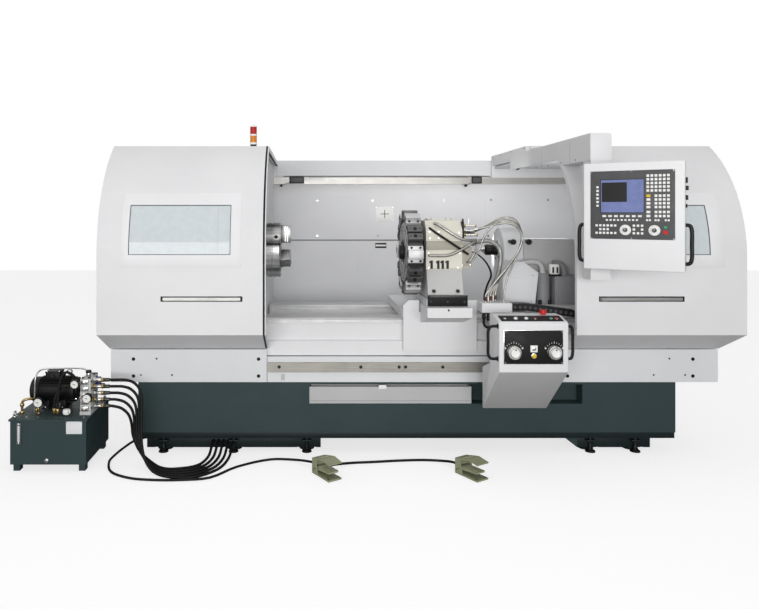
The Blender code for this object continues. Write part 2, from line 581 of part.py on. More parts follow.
def tailstock():
    low = WAY_TOP + SLIDE_FIT
    base = box("tailstock", TAIL_X, (WAY_FRONT_Y[0], WAY_REAR_Y[1]), (low, TAIL_BASE_Z), GREY)
    at = (SPINDLE_Y, SPINDLE_Z)
    foot = TAIL_BASE_Z - 0.010
    head = bmesh.new()
    top = arc(*at, 0.160, 0.0, pi, 16)
    add_prism(head, [(0.590, foot), (0.910, foot), (0.925, 1.180)] + top + [(0.575, 1.180)], "X", (0.690, 0.830))
    combine(base, head)
    barrel = bmesh.new()
    add_prism(barrel, [(0.560, foot), (0.940, foot), (0.940, 1.404), (0.920, 1.424), (0.580, 1.424), (0.560, 1.404)],
              "X", (0.825, TAIL_X[1] + 0.005))
    combine(base, barrel)
    cover = bmesh.new()
    add_prism(cover, [(0.628, TAIL_BASE_Z), (0.628, 1.169), (0.700, 1.281), (0.770, 1.281), (0.874, 1.206),
                      (0.850, foot), (0.762, foot), (0.762, TAIL_BASE_Z)], "Y", (0.405, 0.600))
    combine(base, cover)
    extras = bmesh.new()
    add_rod(extras, "Z", (0.925, 0.470), (foot, 1.198), 0.046, sides=20)
    add_box(extras, (0.985, 1.190), (0.400, 0.570), (foot, 1.179))
    combine(base, extras)
    pegs = bmesh.new()
    for x in (0.735, 0.845):
        add_rod(pegs, "Y", (x, 1.412), (0.505, 0.640), 0.020, 0.012, sides=16)
    combine(base, pegs)
    bore = bmesh.new()
    add_rod(bore, "X", at, (0.600, 1.150), QUILL_R + SLIDE_FIT, sides=32)
    combine(base, bore, "DIFFERENCE")
    quill = rod("tailstock_quill", "X", at, QUILL_X, QUILL_R, DARK_STEEL, (QUILL_X[0], *at), sides=32)
    nose = bmesh.new()
    add_rod(nose, "X", at, (0.555, 0.590), 0.003, 0.024, sides=24)
    nut = bmesh.new()
    add_rod(nut, "X", at, (0.588, 0.680), 0.040, sides=24)
    combine(quill, nut)
    combine(quill, nose)


def operator_panel():
    top = DOOR_ROOF_Z + 0.019
    hug = [(door_y(z) - 0.0008, z) for z in [ARM_Z + (DOOR_ROOF_Z - ARM_Z) * i / 6 for i in range(7)]]
    arm = [(-0.200, ARM_Z)] + hug + [(0.420, DOOR_ROOF_Z + TOUCH), (1.370, DOOR_ROOF_Z + TOUCH), (1.370, top),
                                     (-0.200, top)]
    x = (OPEN_X[1], OPEN_X[1] + 0.127)
    boom = prism("panel_arm", arm, "X", x, WHITE)
    post = bmesh.new()
    add_box(post, (x[0] + 0.004, x[1] - 0.004), (-0.195, -0.085), (PANEL_Z[0] - 0.080, ARM_Z + 0.008))
    combine(boom, post)
    duct = bmesh.new()
    add_box(duct, (x[0], x[1] + 0.011), (0.970, DOOR_REAR_Y - 0.005), (DOOR_ROOF_Z + TOUCH, top + 0.039))
    combine(boom, duct)
    corner = bmesh.new()
    r = 0.017
    round_off = [(x[1] - r + r * sin(pi / 2 * i / 4), top - r + r * cos(pi / 2 * i / 4)) for i in range(5)]
    add_prism(corner, round_off + [(x[1] + 0.001, top - r), (x[1] + 0.001, top + 0.001), (x[1] - r, top + 0.001)], "Y",
              (-0.300, 0.9699))
    combine(boom, corner, "DIFFERENCE")
    lugs = bmesh.new()
    for z in (BOSS_Z[0] - 0.0303, BOSS_Z[1] + 0.0003):
        add_box(lugs, (PIVOT[0] - 0.022, PIVOT[0] + 0.022), (PIVOT[1] - 0.020, -0.190), (z, z + 0.030))
    combine(boom, lugs)

    origin = (PIVOT[0], PIVOT[1], 0.0)
    turn = Matrix.Translation(origin) @ Matrix.Rotation(PANEL_TURN, 4, "Z")
    left, back = -0.081, -PANEL_BACK
    bm = bmesh.new()
    made = add_box(bm, (left, left + PANEL_W), (back - PANEL_T, back), PANEL_Z)
    bmesh.ops.transform(bm, matrix=turn, verts=made)
    case = place(bm, "operator_panel", GREY, origin)
    boss = bmesh.new()
    add_rod(boss, "Z", (0.0, 0.0), BOSS_Z, 0.024, sides=20)
    bmesh.ops.transform(boss, matrix=turn, verts=boss.verts)
    combine(case, boss)
    web = bmesh.new()
    add_box(web, (-0.016, 0.016), (back - 0.010, -0.002), (BOSS_Z[0] + 0.015, BOSS_Z[1] - 0.015))
    bmesh.ops.transform(web, matrix=turn, verts=web.verts)
    combine(case, web)
    for edge, reach in ((left, -0.038), (left + PANEL_W, 0.038)):
        grip = c_grip(edge, reach, (back - 0.070, back - 0.052), (PANEL_Z[0] + 0.035, PANEL_Z[0] + 0.265),
                      0.016)
        bmesh.ops.transform(grip, matrix=turn, verts=grip.verts)
        combine(case, grip)


def power_unit():
    (x0, x1), (y0, y1), (z0, z1) = TANK_X, TANK_Y, TANK_Z
    tank = box("power_unit_tank", TANK_X, TANK_Y, TANK_Z, GREEN)
    feet = bmesh.new()
    for x in (x0 + 0.012, x1 - 0.052):
        for y in (y0 + 0.020, y1 - 0.070):
            add_box(feet, (x, x + 0.040), (y, y + 0.050), (0.0, z0 + 0.004))
    combine(tank, feet)
    rim = bmesh.new()
    add_box(rim, (x0 - 0.008, x1 + 0.008), (y0 - 0.008, y1 + 0.008), (z1 - 0.012, z1))
    combine(tank, rim)
    top = z1 + TOUCH
    at, ribs = MOTOR_AT, 26
    ring = [(r, 2 * pi * (i + k) / ribs) for i in range(ribs)
            for r, k in ((MOTOR_R, 0.0), (MOTOR_R, 0.45), (MOTOR_R - 0.008, 0.5), (MOTOR_R - 0.008, 0.95))]
    outline = [(at[0] + r * cos(a), at[1] + r * sin(a)) for r, a in ring]
    motor = prism("power_unit_motor", outline, "X", (MOTOR_X[0] + 0.050, MOTOR_X[1] - 0.030), BLACK)
    ends = bmesh.new()
    add_rod(ends, "X", at, (MOTOR_X[0], MOTOR_X[0] + 0.055), MOTOR_R - 0.004, MOTOR_R + 0.003, sides=28)
    add_rod(ends, "X", at, (MOTOR_X[1] - 0.035, MOTOR_X[1]), MOTOR_R + 0.003, MOTOR_R - 0.016, sides=28)
    combine(motor, ends)
    carried = bmesh.new()
    for x in (MOTOR_X[0] + 0.070, MOTOR_X[1] - 0.095):
        add_box(carried, (x, x + 0.035), (at[0] - 0.072, at[0] + 0.072), (top, at[1] - MOTOR_R + 0.020))
    add_box(carried, (MOTOR_X[0] + 0.095, MOTOR_X[0] + 0.190), (at[0] - 0.040, at[0] + 0.040),
            (at[1] + MOTOR_R - 0.012, at[1] + MOTOR_R + 0.036))
    combine(motor, carried)
    valve = box("power_unit_valves", (-2.165, -2.095), (0.060, 0.260), (top, 0.560), STEEL)
    coils = bmesh.new()
    for i in range(HOSES):
        z = HOSE_Z - HOSE_STEP * i
        add_box(coils, (-2.110, HOSE_X - TOUCH), (0.090, 0.140), (z - 0.0175, z + 0.0175))
    combine(valve, coils)
    gauge = bmesh.new()
    for x, z in ((-2.140, 0.475),):
        add_rod(gauge, "Y", (x, z), (0.020, 0.070), 0.030, sides=24)
    combine(valve, gauge)


def pedals():
    y, half = PEDAL_Y, PEDAL_W / 2
    step_half = half - 0.012
    for i, x in enumerate(PEDAL_X):
        turn = Matrix.Translation((x, y, 0.0)) @ Matrix.Rotation(PEDAL_TURN, 4, "Z")
        hood = [(0.000, 0.000), (0.185, 0.000), (0.185, 0.010), (0.014, 0.010), (0.014, 0.086), (0.110, 0.109),
                (0.186, 0.098), (0.188, 0.106), (0.110, 0.119), (0.000, 0.094)]
        bm = bmesh.new()
        made = add_prism(bm, hood, "Y", (-half, half))
        bmesh.ops.transform(bm, matrix=turn, verts=made)
        guard = place(bm, f"pedal_guard_{i + 1}", OLIVE, (x, y, 0.0))
        cheek = bmesh.new()
        for side in (-half, half - 0.005):
            add_prism(cheek, [(0.002, 0.004), (0.062, 0.004), (0.046, 0.070), (0.046, 0.098), (0.002, 0.088)], "Y",
                      (side, side + 0.005))
        bmesh.ops.transform(cheek, matrix=turn, verts=cheek.verts)
        combine(guard, cheek)
        lugs = bmesh.new()
        for a, b in ((-half + 0.003, -step_half - TOUCH), (step_half + TOUCH, half - 0.003)):
            add_rod(lugs, "Y", PEDAL_PIVOT, (a, b), 0.007, sides=12)
        bmesh.ops.transform(lugs, matrix=turn, verts=lugs.verts)
        combine(guard, lugs)
        hinge = turn @ Vector((PEDAL_PIVOT[0], 0.0, PEDAL_PIVOT[1]))
        step = bmesh.new()
        add_prism(step, [(0.024, 0.030), (0.040, 0.030), (0.168, 0.040), (0.168, 0.051), (0.024, 0.050)], "Y",
                  (-step_half, step_half))
        bmesh.ops.transform(step, matrix=turn, verts=step.verts)
        place(step, f"pedal_treadle_{i + 1}", OLIVE, tuple(hinge))


def hoses():
    for i in range(3):
        s, t = 0.045 * i, 0.018 * i
        y, end_y, end_z = 0.205 + s, 0.270 + 0.055 * i, 1.504 - 0.012 * i
        route = [(0.455 + s, y, 1.026 + TOUCH), (0.455 + s, y, 1.075), (0.525 + 0.5 * s, y, 1.170),
                 (0.590 + 0.4 * s, y, 1.250), (0.645 + 0.4 * s, y, 1.325), (0.685 + 0.3 * s, y, 1.400),
                 (0.694 + 0.3 * s, y, 1.470), (0.655 + 0.3 * s, y, 1.530 + t), (0.585 + 0.2 * s, y + 0.010, 1.550 + t),
                 (0.490, end_y - 0.015, end_z + 0.022 + 0.5 * t), (0.405, end_y, end_z + 0.003), (0.345, end_y, end_z),
                 (HOUSING_X[1] + TOUCH, end_y, end_z)]
        tube(f"turret_hose_{i + 1}", route, 0.014, STEEL)
    for i in range(HOSES):
        a, k = 0.034 * (i - 2), 0.020 * (HOSES - 1 - i)
        z = HOSE_Z - HOSE_STEP * i
        route = [(HOSE_X, 0.115, z), (-1.976 + k, 0.115, z), (-1.916 + k, 0.115 + 0.05 * a, z - 0.016),
                 (-1.872 + k, 0.114 + 0.2 * a, z - 0.060), (-1.856 + k, 0.110 + 0.45 * a, z - 0.120),
                 (-1.848 + k, 0.098 + 0.75 * a, 0.170), (-1.798 + 0.8 * k, 0.060 + a, 0.076),
                 (-1.705 + 0.4 * k, 0.010 + a, 0.020),
                 (-1.600 - 0.4 * a, -0.050 + a, 0.0095), (-1.480 - 0.9 * a, -0.060 + a, 0.0095),
                 (-1.350 - a, 0.030 + 0.5 * a, 0.0095), (-1.296 - a, 0.155 + 0.2 * a, 0.026),
                 (-1.285 - a, 0.270, 0.066), (-1.285 - a, 0.320, 0.072), (-1.285 - a, 0.3597, 0.072)]
        tube(f"floor_hose_{i + 1}", route, 0.018, RUBBER)
    z = 0.0086
    pedal = [Matrix.Translation((x, PEDAL_Y, 0.0)) @ Matrix.Rotation(PEDAL_TURN, 4, "Z") for x in PEDAL_X]
    side = PEDAL_W / 2
    first = [(PEDESTAL_LEFT_X[0] - TOUCH, 0.480, 0.050), (-1.835, 0.480, 0.050), (-1.905, 0.455, 0.040),
             (-1.962, 0.380, 0.018), (-1.995, 0.250, z), (-1.998, 0.131, z), (-1.935, -0.040, z), (-1.800, -0.135, z), (-1.652, -0.165, z), (-1.480, -0.165, z),
             (-1.312, -0.130, z), (-1.165, 0.043, z), (-0.960, 0.170, z), (-0.800, 0.150, 0.014),
             tuple(pedal[0] @ Vector((-0.060, 0.0, 0.036))), tuple(pedal[0] @ Vector((-TOUCH, 0.0, 0.036)))]
    tube("pedal_cable_1", first, 0.016, RUBBER)
    second = [tuple(pedal[0] @ Vector((0.030, side + out, 0.030))) for out in (TOUCH, 0.050)]
    second += [(-0.430, 0.110, z), (-0.300, 0.125, z), (-0.120, 0.150, z), (0.040, 0.160, z), (0.160, 0.130, 0.014),
               tuple(pedal[1] @ Vector((-0.060, 0.0, 0.036))), tuple(pedal[1] @ Vector((-TOUCH, 0.0, 0.036)))]
    tube("pedal_cable_2", second, 0.016, RUBBER)


for make in (base_and_feet, bed_and_guideways, skirts, rear_guard, headstock_and_hood, chuck, doors, beacon, carriage,
             cross_slide_and_turret, control_box, tailstock, operator_panel, power_unit, pedals, hoses):
    make()


def footprint_middle():
    """Half way along and across what stands on the floor, cords left out."""
    bpy.context.view_layer.update()
    graph = bpy.context.evaluated_depsgraph_get()
    spots = []
    for obj in bpy.data.objects:
        if obj.type == "MESH" and not obj.hide_render:
            seen = obj.evaluated_get(graph)
            mesh = seen.to_mesh()
            spots += [seen.matrix_world @ v.co for v in mesh.vertices]
            seen.to_mesh_clear()
    return [(min(p[k] for p in spots) + max(p[k] for p in spots)) / 2 for k in (0, 1)]


mid = footprint_middle()
machine.location = (-mid[0], -mid[1], 0.0)
print("machine frame at", [round(c, 5) for c in machine.location])
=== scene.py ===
# %% [markdown]
# # A flat-bed turning lathe
# This file dresses the plain solids of a big turning lathe: two curved sliding doors, a turret with twelve
# tool stations, a control box that travels with the carriage, a tailstock and a small hydraulic unit.
# The solids come from a imported frame, and every piece made here but the turret hose bundle rides on
# one of the frame's bodies.
# Points are written in the machine's own frame, as a fitter would measure it: x = 0 midway between the
# doors, y = 0 at the doors' front, z = 0 at the floor. HOME carries them to the frame of the solids.

# %% Load the frame
from math import atan2, cos, pi, radians, sin, sqrt, tan

import bmesh
import bpy
from mathutils import Matrix, Vector


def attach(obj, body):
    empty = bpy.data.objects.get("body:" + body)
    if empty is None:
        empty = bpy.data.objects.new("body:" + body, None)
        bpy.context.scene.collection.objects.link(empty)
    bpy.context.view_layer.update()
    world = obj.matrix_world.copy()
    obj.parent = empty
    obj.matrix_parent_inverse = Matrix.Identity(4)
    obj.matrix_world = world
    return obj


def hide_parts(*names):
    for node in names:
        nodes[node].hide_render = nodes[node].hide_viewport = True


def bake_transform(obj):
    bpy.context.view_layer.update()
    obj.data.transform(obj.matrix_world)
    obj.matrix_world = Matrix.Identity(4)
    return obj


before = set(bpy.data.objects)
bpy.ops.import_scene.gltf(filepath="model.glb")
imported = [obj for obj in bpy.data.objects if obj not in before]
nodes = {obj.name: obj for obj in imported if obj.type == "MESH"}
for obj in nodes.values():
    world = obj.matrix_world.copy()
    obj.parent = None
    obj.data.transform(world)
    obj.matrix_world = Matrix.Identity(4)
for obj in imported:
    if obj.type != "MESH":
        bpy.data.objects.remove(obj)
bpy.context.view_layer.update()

HOME = Vector((0.2695, -0.69521, 0.0))
UNTURNED = Matrix.Identity(4)

# %% [markdown]
# ## The camera
# The photograph was taken square to the machine's front with a shifted view: the doors' edges stay
# parallel and the vanishing point sits left of the middle and high up. Turning the camera would tilt
# the uprights, so the lens is shifted instead, which is what a view camera does. The focal length and the
# vanishing point are in pixels of the photograph.

# %% Camera
PHOTO_WIDE, PHOTO_HIGH = 759, 609
VANISHING_POINT = (305, 213)
FOCAL_LENGTH = 670
EYE = Vector((-0.732, -4.2, 1.616))
camera_data = bpy.data.cameras.new("camera")
camera_data.sensor_width = 36.0
camera_data.lens = camera_data.sensor_width * FOCAL_LENGTH / PHOTO_WIDE
camera_data.shift_x = (PHOTO_WIDE / 2 - VANISHING_POINT[0]) / PHOTO_WIDE
camera_data.shift_y = -(PHOTO_HIGH / 2 - VANISHING_POINT[1]) / PHOTO_WIDE
camera = bpy.data.objects.new("camera", camera_data)
camera.location = HOME + EYE
camera.rotation_euler = (radians(90), 0.0, 0.0)
bpy.context.collection.objects.link(camera)
bpy.context.scene.camera = camera
print("lens", round(camera_data.lens, 2), "mm")

# %% [markdown]
# ## Light and floor
# A product photograph has hardly a shadow, and here even the wall behind the turret is bright. So the
# main lamp is very broad and stands far off at eye height, where it reaches under the roof. A lamp above
# and a dim world soften the rest, and a fairly dark floor keeps the undersides in shade. A small lamp
# inside lifts the wall and the tailstock. The camera sees no lamp, and the small one isn't mirrored either.
# The world shows pure white to the camera and in reflections, and lights the paint at a lower strength.

# %% World
WORLD_ON_PAINT = 0.40
scene = bpy.context.scene
scene.view_settings.view_transform = "Standard"


def add_node(tree, kind, at=(0, 0), **values):
    """A node with its sockets or settings set by name."""
    node = tree.nodes.new(kind)
    node.location = at
    for key, value in values.items():
        socket = key.replace("_", " ")
        if socket in node.inputs:
            node.inputs[socket].default_value = value
        else:
            setattr(node, key, value)
    return node


world = bpy.data.worlds.new("soft_studio")
scene.world = world
world.use_nodes = True
tree = world.node_tree
tree.nodes.clear()
rays = add_node(tree, "ShaderNodeLightPath", (-700, 0))
most = add_node(tree, "ShaderNodeMath", (-500, 0), operation="MAXIMUM")
any_ray = add_node(tree, "ShaderNodeMath", (-300, 0), operation="MAXIMUM")
tree.links.new(rays.outputs["Is Camera Ray"], most.inputs[0])
tree.links.new(rays.outputs["Is Glossy Ray"], most.inputs[1])
tree.links.new(most.outputs[0], any_ray.inputs[0])
tree.links.new(rays.outputs["Is Transmission Ray"], any_ray.inputs[1])
level = add_node(tree, "ShaderNodeMapRange", (-100, 0))
level.inputs["To Min"].default_value = WORLD_ON_PAINT
level.inputs["To Max"].default_value = 1.0
tree.links.new(any_ray.outputs[0], level.inputs["Value"])
sky = add_node(tree, "ShaderNodeBackground", (100, 0), Color=(1.0, 1.0, 1.0, 1.0))
tree.links.new(level.outputs[0], sky.inputs["Strength"])
out = add_node(tree, "ShaderNodeOutputWorld", (300, 0))
tree.links.new(sky.outputs[0], out.inputs[0])
print("world lights the paint at", WORLD_ON_PAINT)

# %% Lamps


def soft_lamp(name, at, towards, size, power, mirrored=True):
    """A broad lamp of so many watts, placed and aimed in the frame of the solids."""
    lamp = bpy.data.lights.new(name, "AREA")
    lamp.shape, lamp.size, lamp.size_y, lamp.energy = "RECTANGLE", size[0], size[1], power
    obj = bpy.data.objects.new(name, lamp)
    obj.location = at
    obj.rotation_euler = (Vector(towards) - Vector(at)).to_track_quat("-Z", "Y").to_euler()
    obj.visible_camera, obj.visible_glossy = False, mirrored
    bpy.context.collection.objects.link(obj)


soft_lamp("top_lamp", (0.0, -0.8, 5.2), (0.0, 0.2, 0.8), (6.0, 4.0), 45)
soft_lamp("front_lamp", (-0.6, -9.0, 1.75), (0.1, 0.0, 1.2), (8.0, 2.4), 520)
soft_lamp("work_lamp", HOME + Vector((0.98, 0.80, 1.52)), HOME + Vector((1.20, 1.95, 1.45)), (0.9, 0.6),
          7.0, mirrored=False)
print(len(bpy.data.lights), "lamps")

# %% Floor
FLOOR_TONE, FLOOR_GLOW, FLOOR_DROP = 0.36, 0.72, 0.001
bm = bmesh.new()
bmesh.ops.create_grid(bm, x_segments=8, y_segments=8, size=14.0)
floor_mesh = bpy.data.meshes.new("floor")
bm.to_mesh(floor_mesh)
bm.free()
floor = bpy.data.objects.new("floor", floor_mesh)
floor.location = (0.0, 0.0, -FLOOR_DROP)
bpy.context.collection.objects.link(floor)
floor_paint = bpy.data.materials.new("pale_floor")
floor_paint.use_nodes = True
tree = floor_paint.node_tree
shader = tree.nodes["Principled BSDF"]
shader.inputs["Base Color"].default_value = (FLOOR_TONE, FLOOR_TONE, FLOOR_TONE, 1.0)
shader.inputs["Roughness"].default_value = 0.9
shader.inputs["Specular IOR Level"].default_value = 0.1
rays = add_node(tree, "ShaderNodeLightPath", (-500, -200))
glow = add_node(tree, "ShaderNodeMath", (-300, -200), operation="MULTIPLY")
glow.inputs[1].default_value = FLOOR_GLOW
tree.links.new(rays.outputs["Is Camera Ray"], glow.inputs[0])
shader.inputs["Emission Color"].default_value = (1.0, 1.0, 1.0, 1.0)
tree.links.new(glow.outputs[0], shader.inputs["Emission Strength"])
floor_mesh.materials.append(floor_paint)
print("floor laid", FLOOR_DROP * 1000, "mm under the feet")

# %% [markdown]
# ## Shared finishes
# Three effects come back in many materials, so each is a node group that is built once. Sprayed paint
# has a faint orange peel and is never quite one tone. Ground and turned steel shows fine lines in the
# direction of the cut. Moulded plastic and rubber have a fine grain. The groups put out colours, values
# and heights only, and the shader itself stays in each material.

# %% Tools for the node groups
COLOUR, FLOAT, VECTOR = "NodeSocketColor", "NodeSocketFloat", "NodeSocketVector"
MIX_FIRST, MIX_SECOND, MIX_RESULT = 6, 7, 2


def linear(c):
    """One channel as it looks, made linear."""
    return c / 12.92 if c <= 0.04045 else ((c + 0.055) / 1.055) ** 2.4


def colour(r, g, b):
    """A colour as it looks on the object, 0 to 1, made linear for the shader."""
    return (linear(r), linear(g), linear(b), 1.0)


def group(name, inputs, outputs):
    """An empty node group with its sockets, and its input and output nodes."""
    made = bpy.data.node_groups.new(name, "ShaderNodeTree")
    for title, kind, value in inputs:
        made.interface.new_socket(title, in_out="INPUT", socket_type=kind).default_value = value
    for title, kind in outputs:
        made.interface.new_socket(title, in_out="OUTPUT", socket_type=kind)
    return made, add_node(made, "NodeGroupInput", (-1000, 0)), add_node(made, "NodeGroupOutput", (600, 0))


def speckle(tree, vector, scale, detail, at):
    """A noise texture on a vector, its value spread to the whole range from 0 to 1."""
    noise = add_node(tree, "ShaderNodeTexNoise", at, Detail=detail, Roughness=0.55)
    if isinstance(scale, (int, float)):
        noise.inputs["Scale"].default_value = scale
    else:
        tree.links.new(scale, noise.inputs["Scale"])
    tree.links.new(vector, noise.inputs["Vector"])
    spread = add_node(tree, "ShaderNodeMapRange", (at[0] + 200, at[1]))
    spread.inputs["From Min"].default_value = 0.3
    spread.inputs["From Max"].default_value = 0.7
    tree.links.new(noise.outputs["Fac"], spread.inputs["Value"])
    return spread.outputs[0]


def two_tone(tree, mask, first, second, at):
    """One colour where the mask is 0 and another where it is 1."""
    mix = add_node(tree, "ShaderNodeMix", at, data_type="RGBA")
    tree.links.new(mask, mix.inputs["Factor"])
    tree.links.new(first, mix.inputs[MIX_FIRST])
    tree.links.new(second, mix.inputs[MIX_SECOND])
    return mix.outputs[MIX_RESULT]


def between(tree, mask, low, high, at):
    """The mask from 0 to 1, made a value between low and high."""
    spread = add_node(tree, "ShaderNodeMapRange", at)
    tree.links.new(mask, spread.inputs["Value"])
    for socket, value in (("To Min", low), ("To Max", high)):
        if isinstance(value, (int, float)):
            spread.inputs[socket].default_value = value
        else:
            tree.links.new(value, spread.inputs[socket])
    return spread.outputs[0]


# %% Sprayed paint
sprayed, given, made = group(
    "sprayed_skin",
    (("Colour", COLOUR, (0.8, 0.8, 0.8, 1)), ("Low tone", COLOUR, (0.7, 0.7, 0.7, 1)),
     ("Smooth", FLOAT, 0.36), ("Rough", FLOAT, 0.48), ("Peel scale", FLOAT, 420.0)),
    (("Colour", COLOUR), ("Roughness", FLOAT), ("Height", FLOAT)))
spot = add_node(sprayed, "ShaderNodeTexCoord", (-1000, -300)).outputs["Object"]
cloud = speckle(sprayed, spot, 2.3, 3.0, (-700, 200))
sprayed.links.new(two_tone(sprayed, cloud, given.outputs["Colour"], given.outputs["Low tone"], (-200, 250)),
                  made.inputs["Colour"])
patch = speckle(sprayed, spot, 14.0, 4.0, (-700, -50))
sprayed.links.new(between(sprayed, patch, given.outputs["Smooth"], given.outputs["Rough"], (-200, -50)),
                  made.inputs["Roughness"])
sprayed.links.new(speckle(sprayed, spot, given.outputs["Peel scale"], 2.0, (-700, -350)),
                  made.inputs["Height"])

# %% Ground and turned steel
cut_lines, given, made = group(
    "cut_lines",
    (("Colour", COLOUR, (0.6, 0.6, 0.6, 1)), ("Dark line", COLOUR, (0.4, 0.4, 0.4, 1)),
     ("Smooth", FLOAT, 0.2), ("Rough", FLOAT, 0.4), ("Stretch", VECTOR, (3.0, 500.0, 500.0))),
    (("Colour", COLOUR), ("Roughness", FLOAT), ("Height", FLOAT)))
spot = add_node(cut_lines, "ShaderNodeTexCoord", (-1000, -300)).outputs["Object"]
drawn = add_node(cut_lines, "ShaderNodeVectorMath", (-850, -100), operation="MULTIPLY")
cut_lines.links.new(spot, drawn.inputs[0])
cut_lines.links.new(given.outputs["Stretch"], drawn.inputs[1])
line = speckle(cut_lines, drawn.outputs[0], 1.0, 3.0, (-700, 100))
cut_lines.links.new(two_tone(cut_lines, line, given.outputs["Colour"], given.outputs["Dark line"],
                             (-200, 250)), made.inputs["Colour"])
haze = speckle(cut_lines, spot, 9.0, 3.0, (-700, -200))
cut_lines.links.new(between(cut_lines, haze, given.outputs["Smooth"], given.outputs["Rough"], (-200, -100)),
                    made.inputs["Roughness"])
cut_lines.links.new(line, made.inputs["Height"])

# %% Moulded grain
grained, given, made = group(
    "moulded_grain",
    (("Colour", COLOUR, (0.05, 0.05, 0.05, 1)), ("Dusty", COLOUR, (0.1, 0.1, 0.1, 1)),
     ("Smooth", FLOAT, 0.45), ("Rough", FLOAT, 0.65), ("Grain scale", FLOAT, 900.0)),
    (("Colour", COLOUR), ("Roughness", FLOAT), ("Height", FLOAT)))
spot = add_node(grained, "ShaderNodeTexCoord", (-1000, -300)).outputs["Object"]
dust = speckle(grained, spot, 24.0, 5.0, (-700, 200))
grained.links.new(two_tone(grained, dust, given.outputs["Colour"], given.outputs["Dusty"], (-200, 250)),
                  made.inputs["Colour"])
grained.links.new(between(grained, dust, given.outputs["Smooth"], given.outputs["Rough"], (-200, -50)),
                  made.inputs["Roughness"])
grained.links.new(speckle(grained, spot, given.outputs["Grain scale"], 2.0, (-700, -350)),
                  made.inputs["Height"])
print("groups:", [g.name for g in (sprayed, cut_lines, grained)])

# %% [markdown]
# ## The finishes by name
# Each finish is one material with its own numbers in a shared group. The bump height is written in
# metres, so an orange peel of a few hundredths of a millimetre stays that small at any scale.

# %% Materials
METAL_SHINE, PAINT_SHINE = 0.5, 0.22


def finish(name, skin, tone, second, smooth, rough, bump, metal=0.0, **extra):
    """A material that takes colour, roughness and bump from one of the shared groups."""
    material = bpy.data.materials.new(name)
    material.use_nodes = True
    material.diffuse_color = colour(*tone)
    tree = material.node_tree
    shader = tree.nodes["Principled BSDF"]
    node = add_node(tree, "ShaderNodeGroup", (-500, 100), node_tree=skin)
    node.inputs[0].default_value, node.inputs[1].default_value = colour(*tone), colour(*second)
    node.inputs["Smooth"].default_value, node.inputs["Rough"].default_value = smooth, rough
    for key, value in extra.items():
        node.inputs[key.replace("_", " ")].default_value = value
    relief = add_node(tree, "ShaderNodeBump", (-250, -200), Strength=0.6, Distance=bump)
    tree.links.new(node.outputs["Height"], relief.inputs["Height"])
    tree.links.new(node.outputs["Colour"], shader.inputs["Base Color"])
    tree.links.new(node.outputs["Roughness"], shader.inputs["Roughness"])
    tree.links.new(relief.outputs["Normal"], shader.inputs["Normal"])
    shader.inputs["Metallic"].default_value = metal
    shader.inputs["Specular IOR Level"].default_value = METAL_SHINE if metal else PAINT_SHINE
    return material


white_paint = finish("white_paint", sprayed, (0.875, 0.875, 0.88), (0.855, 0.855, 0.86),
                     0.46, 0.56, 0.00005)
grey_paint = finish("grey_paint", sprayed, (0.855, 0.86, 0.865), (0.835, 0.84, 0.845), 0.48, 0.58, 0.00005)
frame_paint = finish("window_frame_paint", sprayed, (0.90, 0.90, 0.905), (0.88, 0.88, 0.885),
                     0.44, 0.54, 0.00004)
# The shaded grey and the deeper grey are mostly painted shade, for parts that lie in shade.
shade_paint = finish("shaded_grey_paint", sprayed, (0.73, 0.73, 0.73), (0.70, 0.70, 0.70),
                     0.40, 0.50, 0.00005)
deep_paint = finish("deep_grey_paint", sprayed, (0.52, 0.52, 0.53), (0.49, 0.49, 0.50), 0.42, 0.52, 0.00005)
cream_paint = finish("cream_paint", sprayed, (0.86, 0.85, 0.80), (0.84, 0.83, 0.78), 0.38, 0.48, 0.00005)
cast_paint = finish("cast_grey_paint", sprayed, (0.77, 0.77, 0.765), (0.73, 0.73, 0.725),
                    0.36, 0.48, 0.0001)
# Painted shade: the shaded green darkens the base's set-back strip, the pedestals' fronts and the feet's
# brackets.
dark_green = finish("shaded_green_paint", sprayed, (0.09, 0.13, 0.135), (0.075, 0.115, 0.12),
                    0.42, 0.55, 0.00008)
zinc_plate = finish("zinc_plate", sprayed, (0.76, 0.75, 0.73), (0.70, 0.69, 0.67), 0.3, 0.42, 0.00003, 0.25)
beige_paint = finish("beige_paint", sprayed, (0.68, 0.66, 0.61), (0.65, 0.63, 0.58), 0.38, 0.48, 0.00005)
green_paint = finish("dark_green_paint", sprayed, (0.19, 0.25, 0.255), (0.17, 0.23, 0.235),
                     0.50, 0.62, 0.00008)
olive_paint = finish("olive_paint", sprayed, (0.60, 0.61, 0.50), (0.55, 0.56, 0.45), 0.45, 0.58, 0.00008)
olive_light = finish("pale_olive_paint", sprayed, (0.70, 0.71, 0.60), (0.66, 0.67, 0.56),
                     0.4, 0.52, 0.00008)
black_paint = finish("black_paint", sprayed, (0.07, 0.07, 0.073), (0.05, 0.05, 0.053), 0.45, 0.6, 0.00005)
white_enamel = finish("bright_white_enamel", sprayed, (0.93, 0.93, 0.92), (0.90, 0.90, 0.89),
                      0.28, 0.38, 0.00003)
ground_steel = finish("ground_steel", cut_lines, (0.66, 0.66, 0.65), (0.50, 0.50, 0.49),
                      0.30, 0.48, 0.00002, 1.0)
rail_steel = finish("rail_steel", cut_lines, (0.62, 0.61, 0.585), (0.50, 0.49, 0.465),
                    0.45, 0.60, 0.00003, 1.0)
turned_steel = finish("turned_steel", cut_lines, (0.60, 0.60, 0.595), (0.44, 0.44, 0.435),
                      0.26, 0.42, 0.00002, 1.0, Stretch=(600.0, 20.0, 20.0))
station_steel = finish("dull_ground_steel", cut_lines, (0.80, 0.80, 0.80), (0.62, 0.62, 0.62),
                       0.48, 0.62, 0.00002, 0.75)
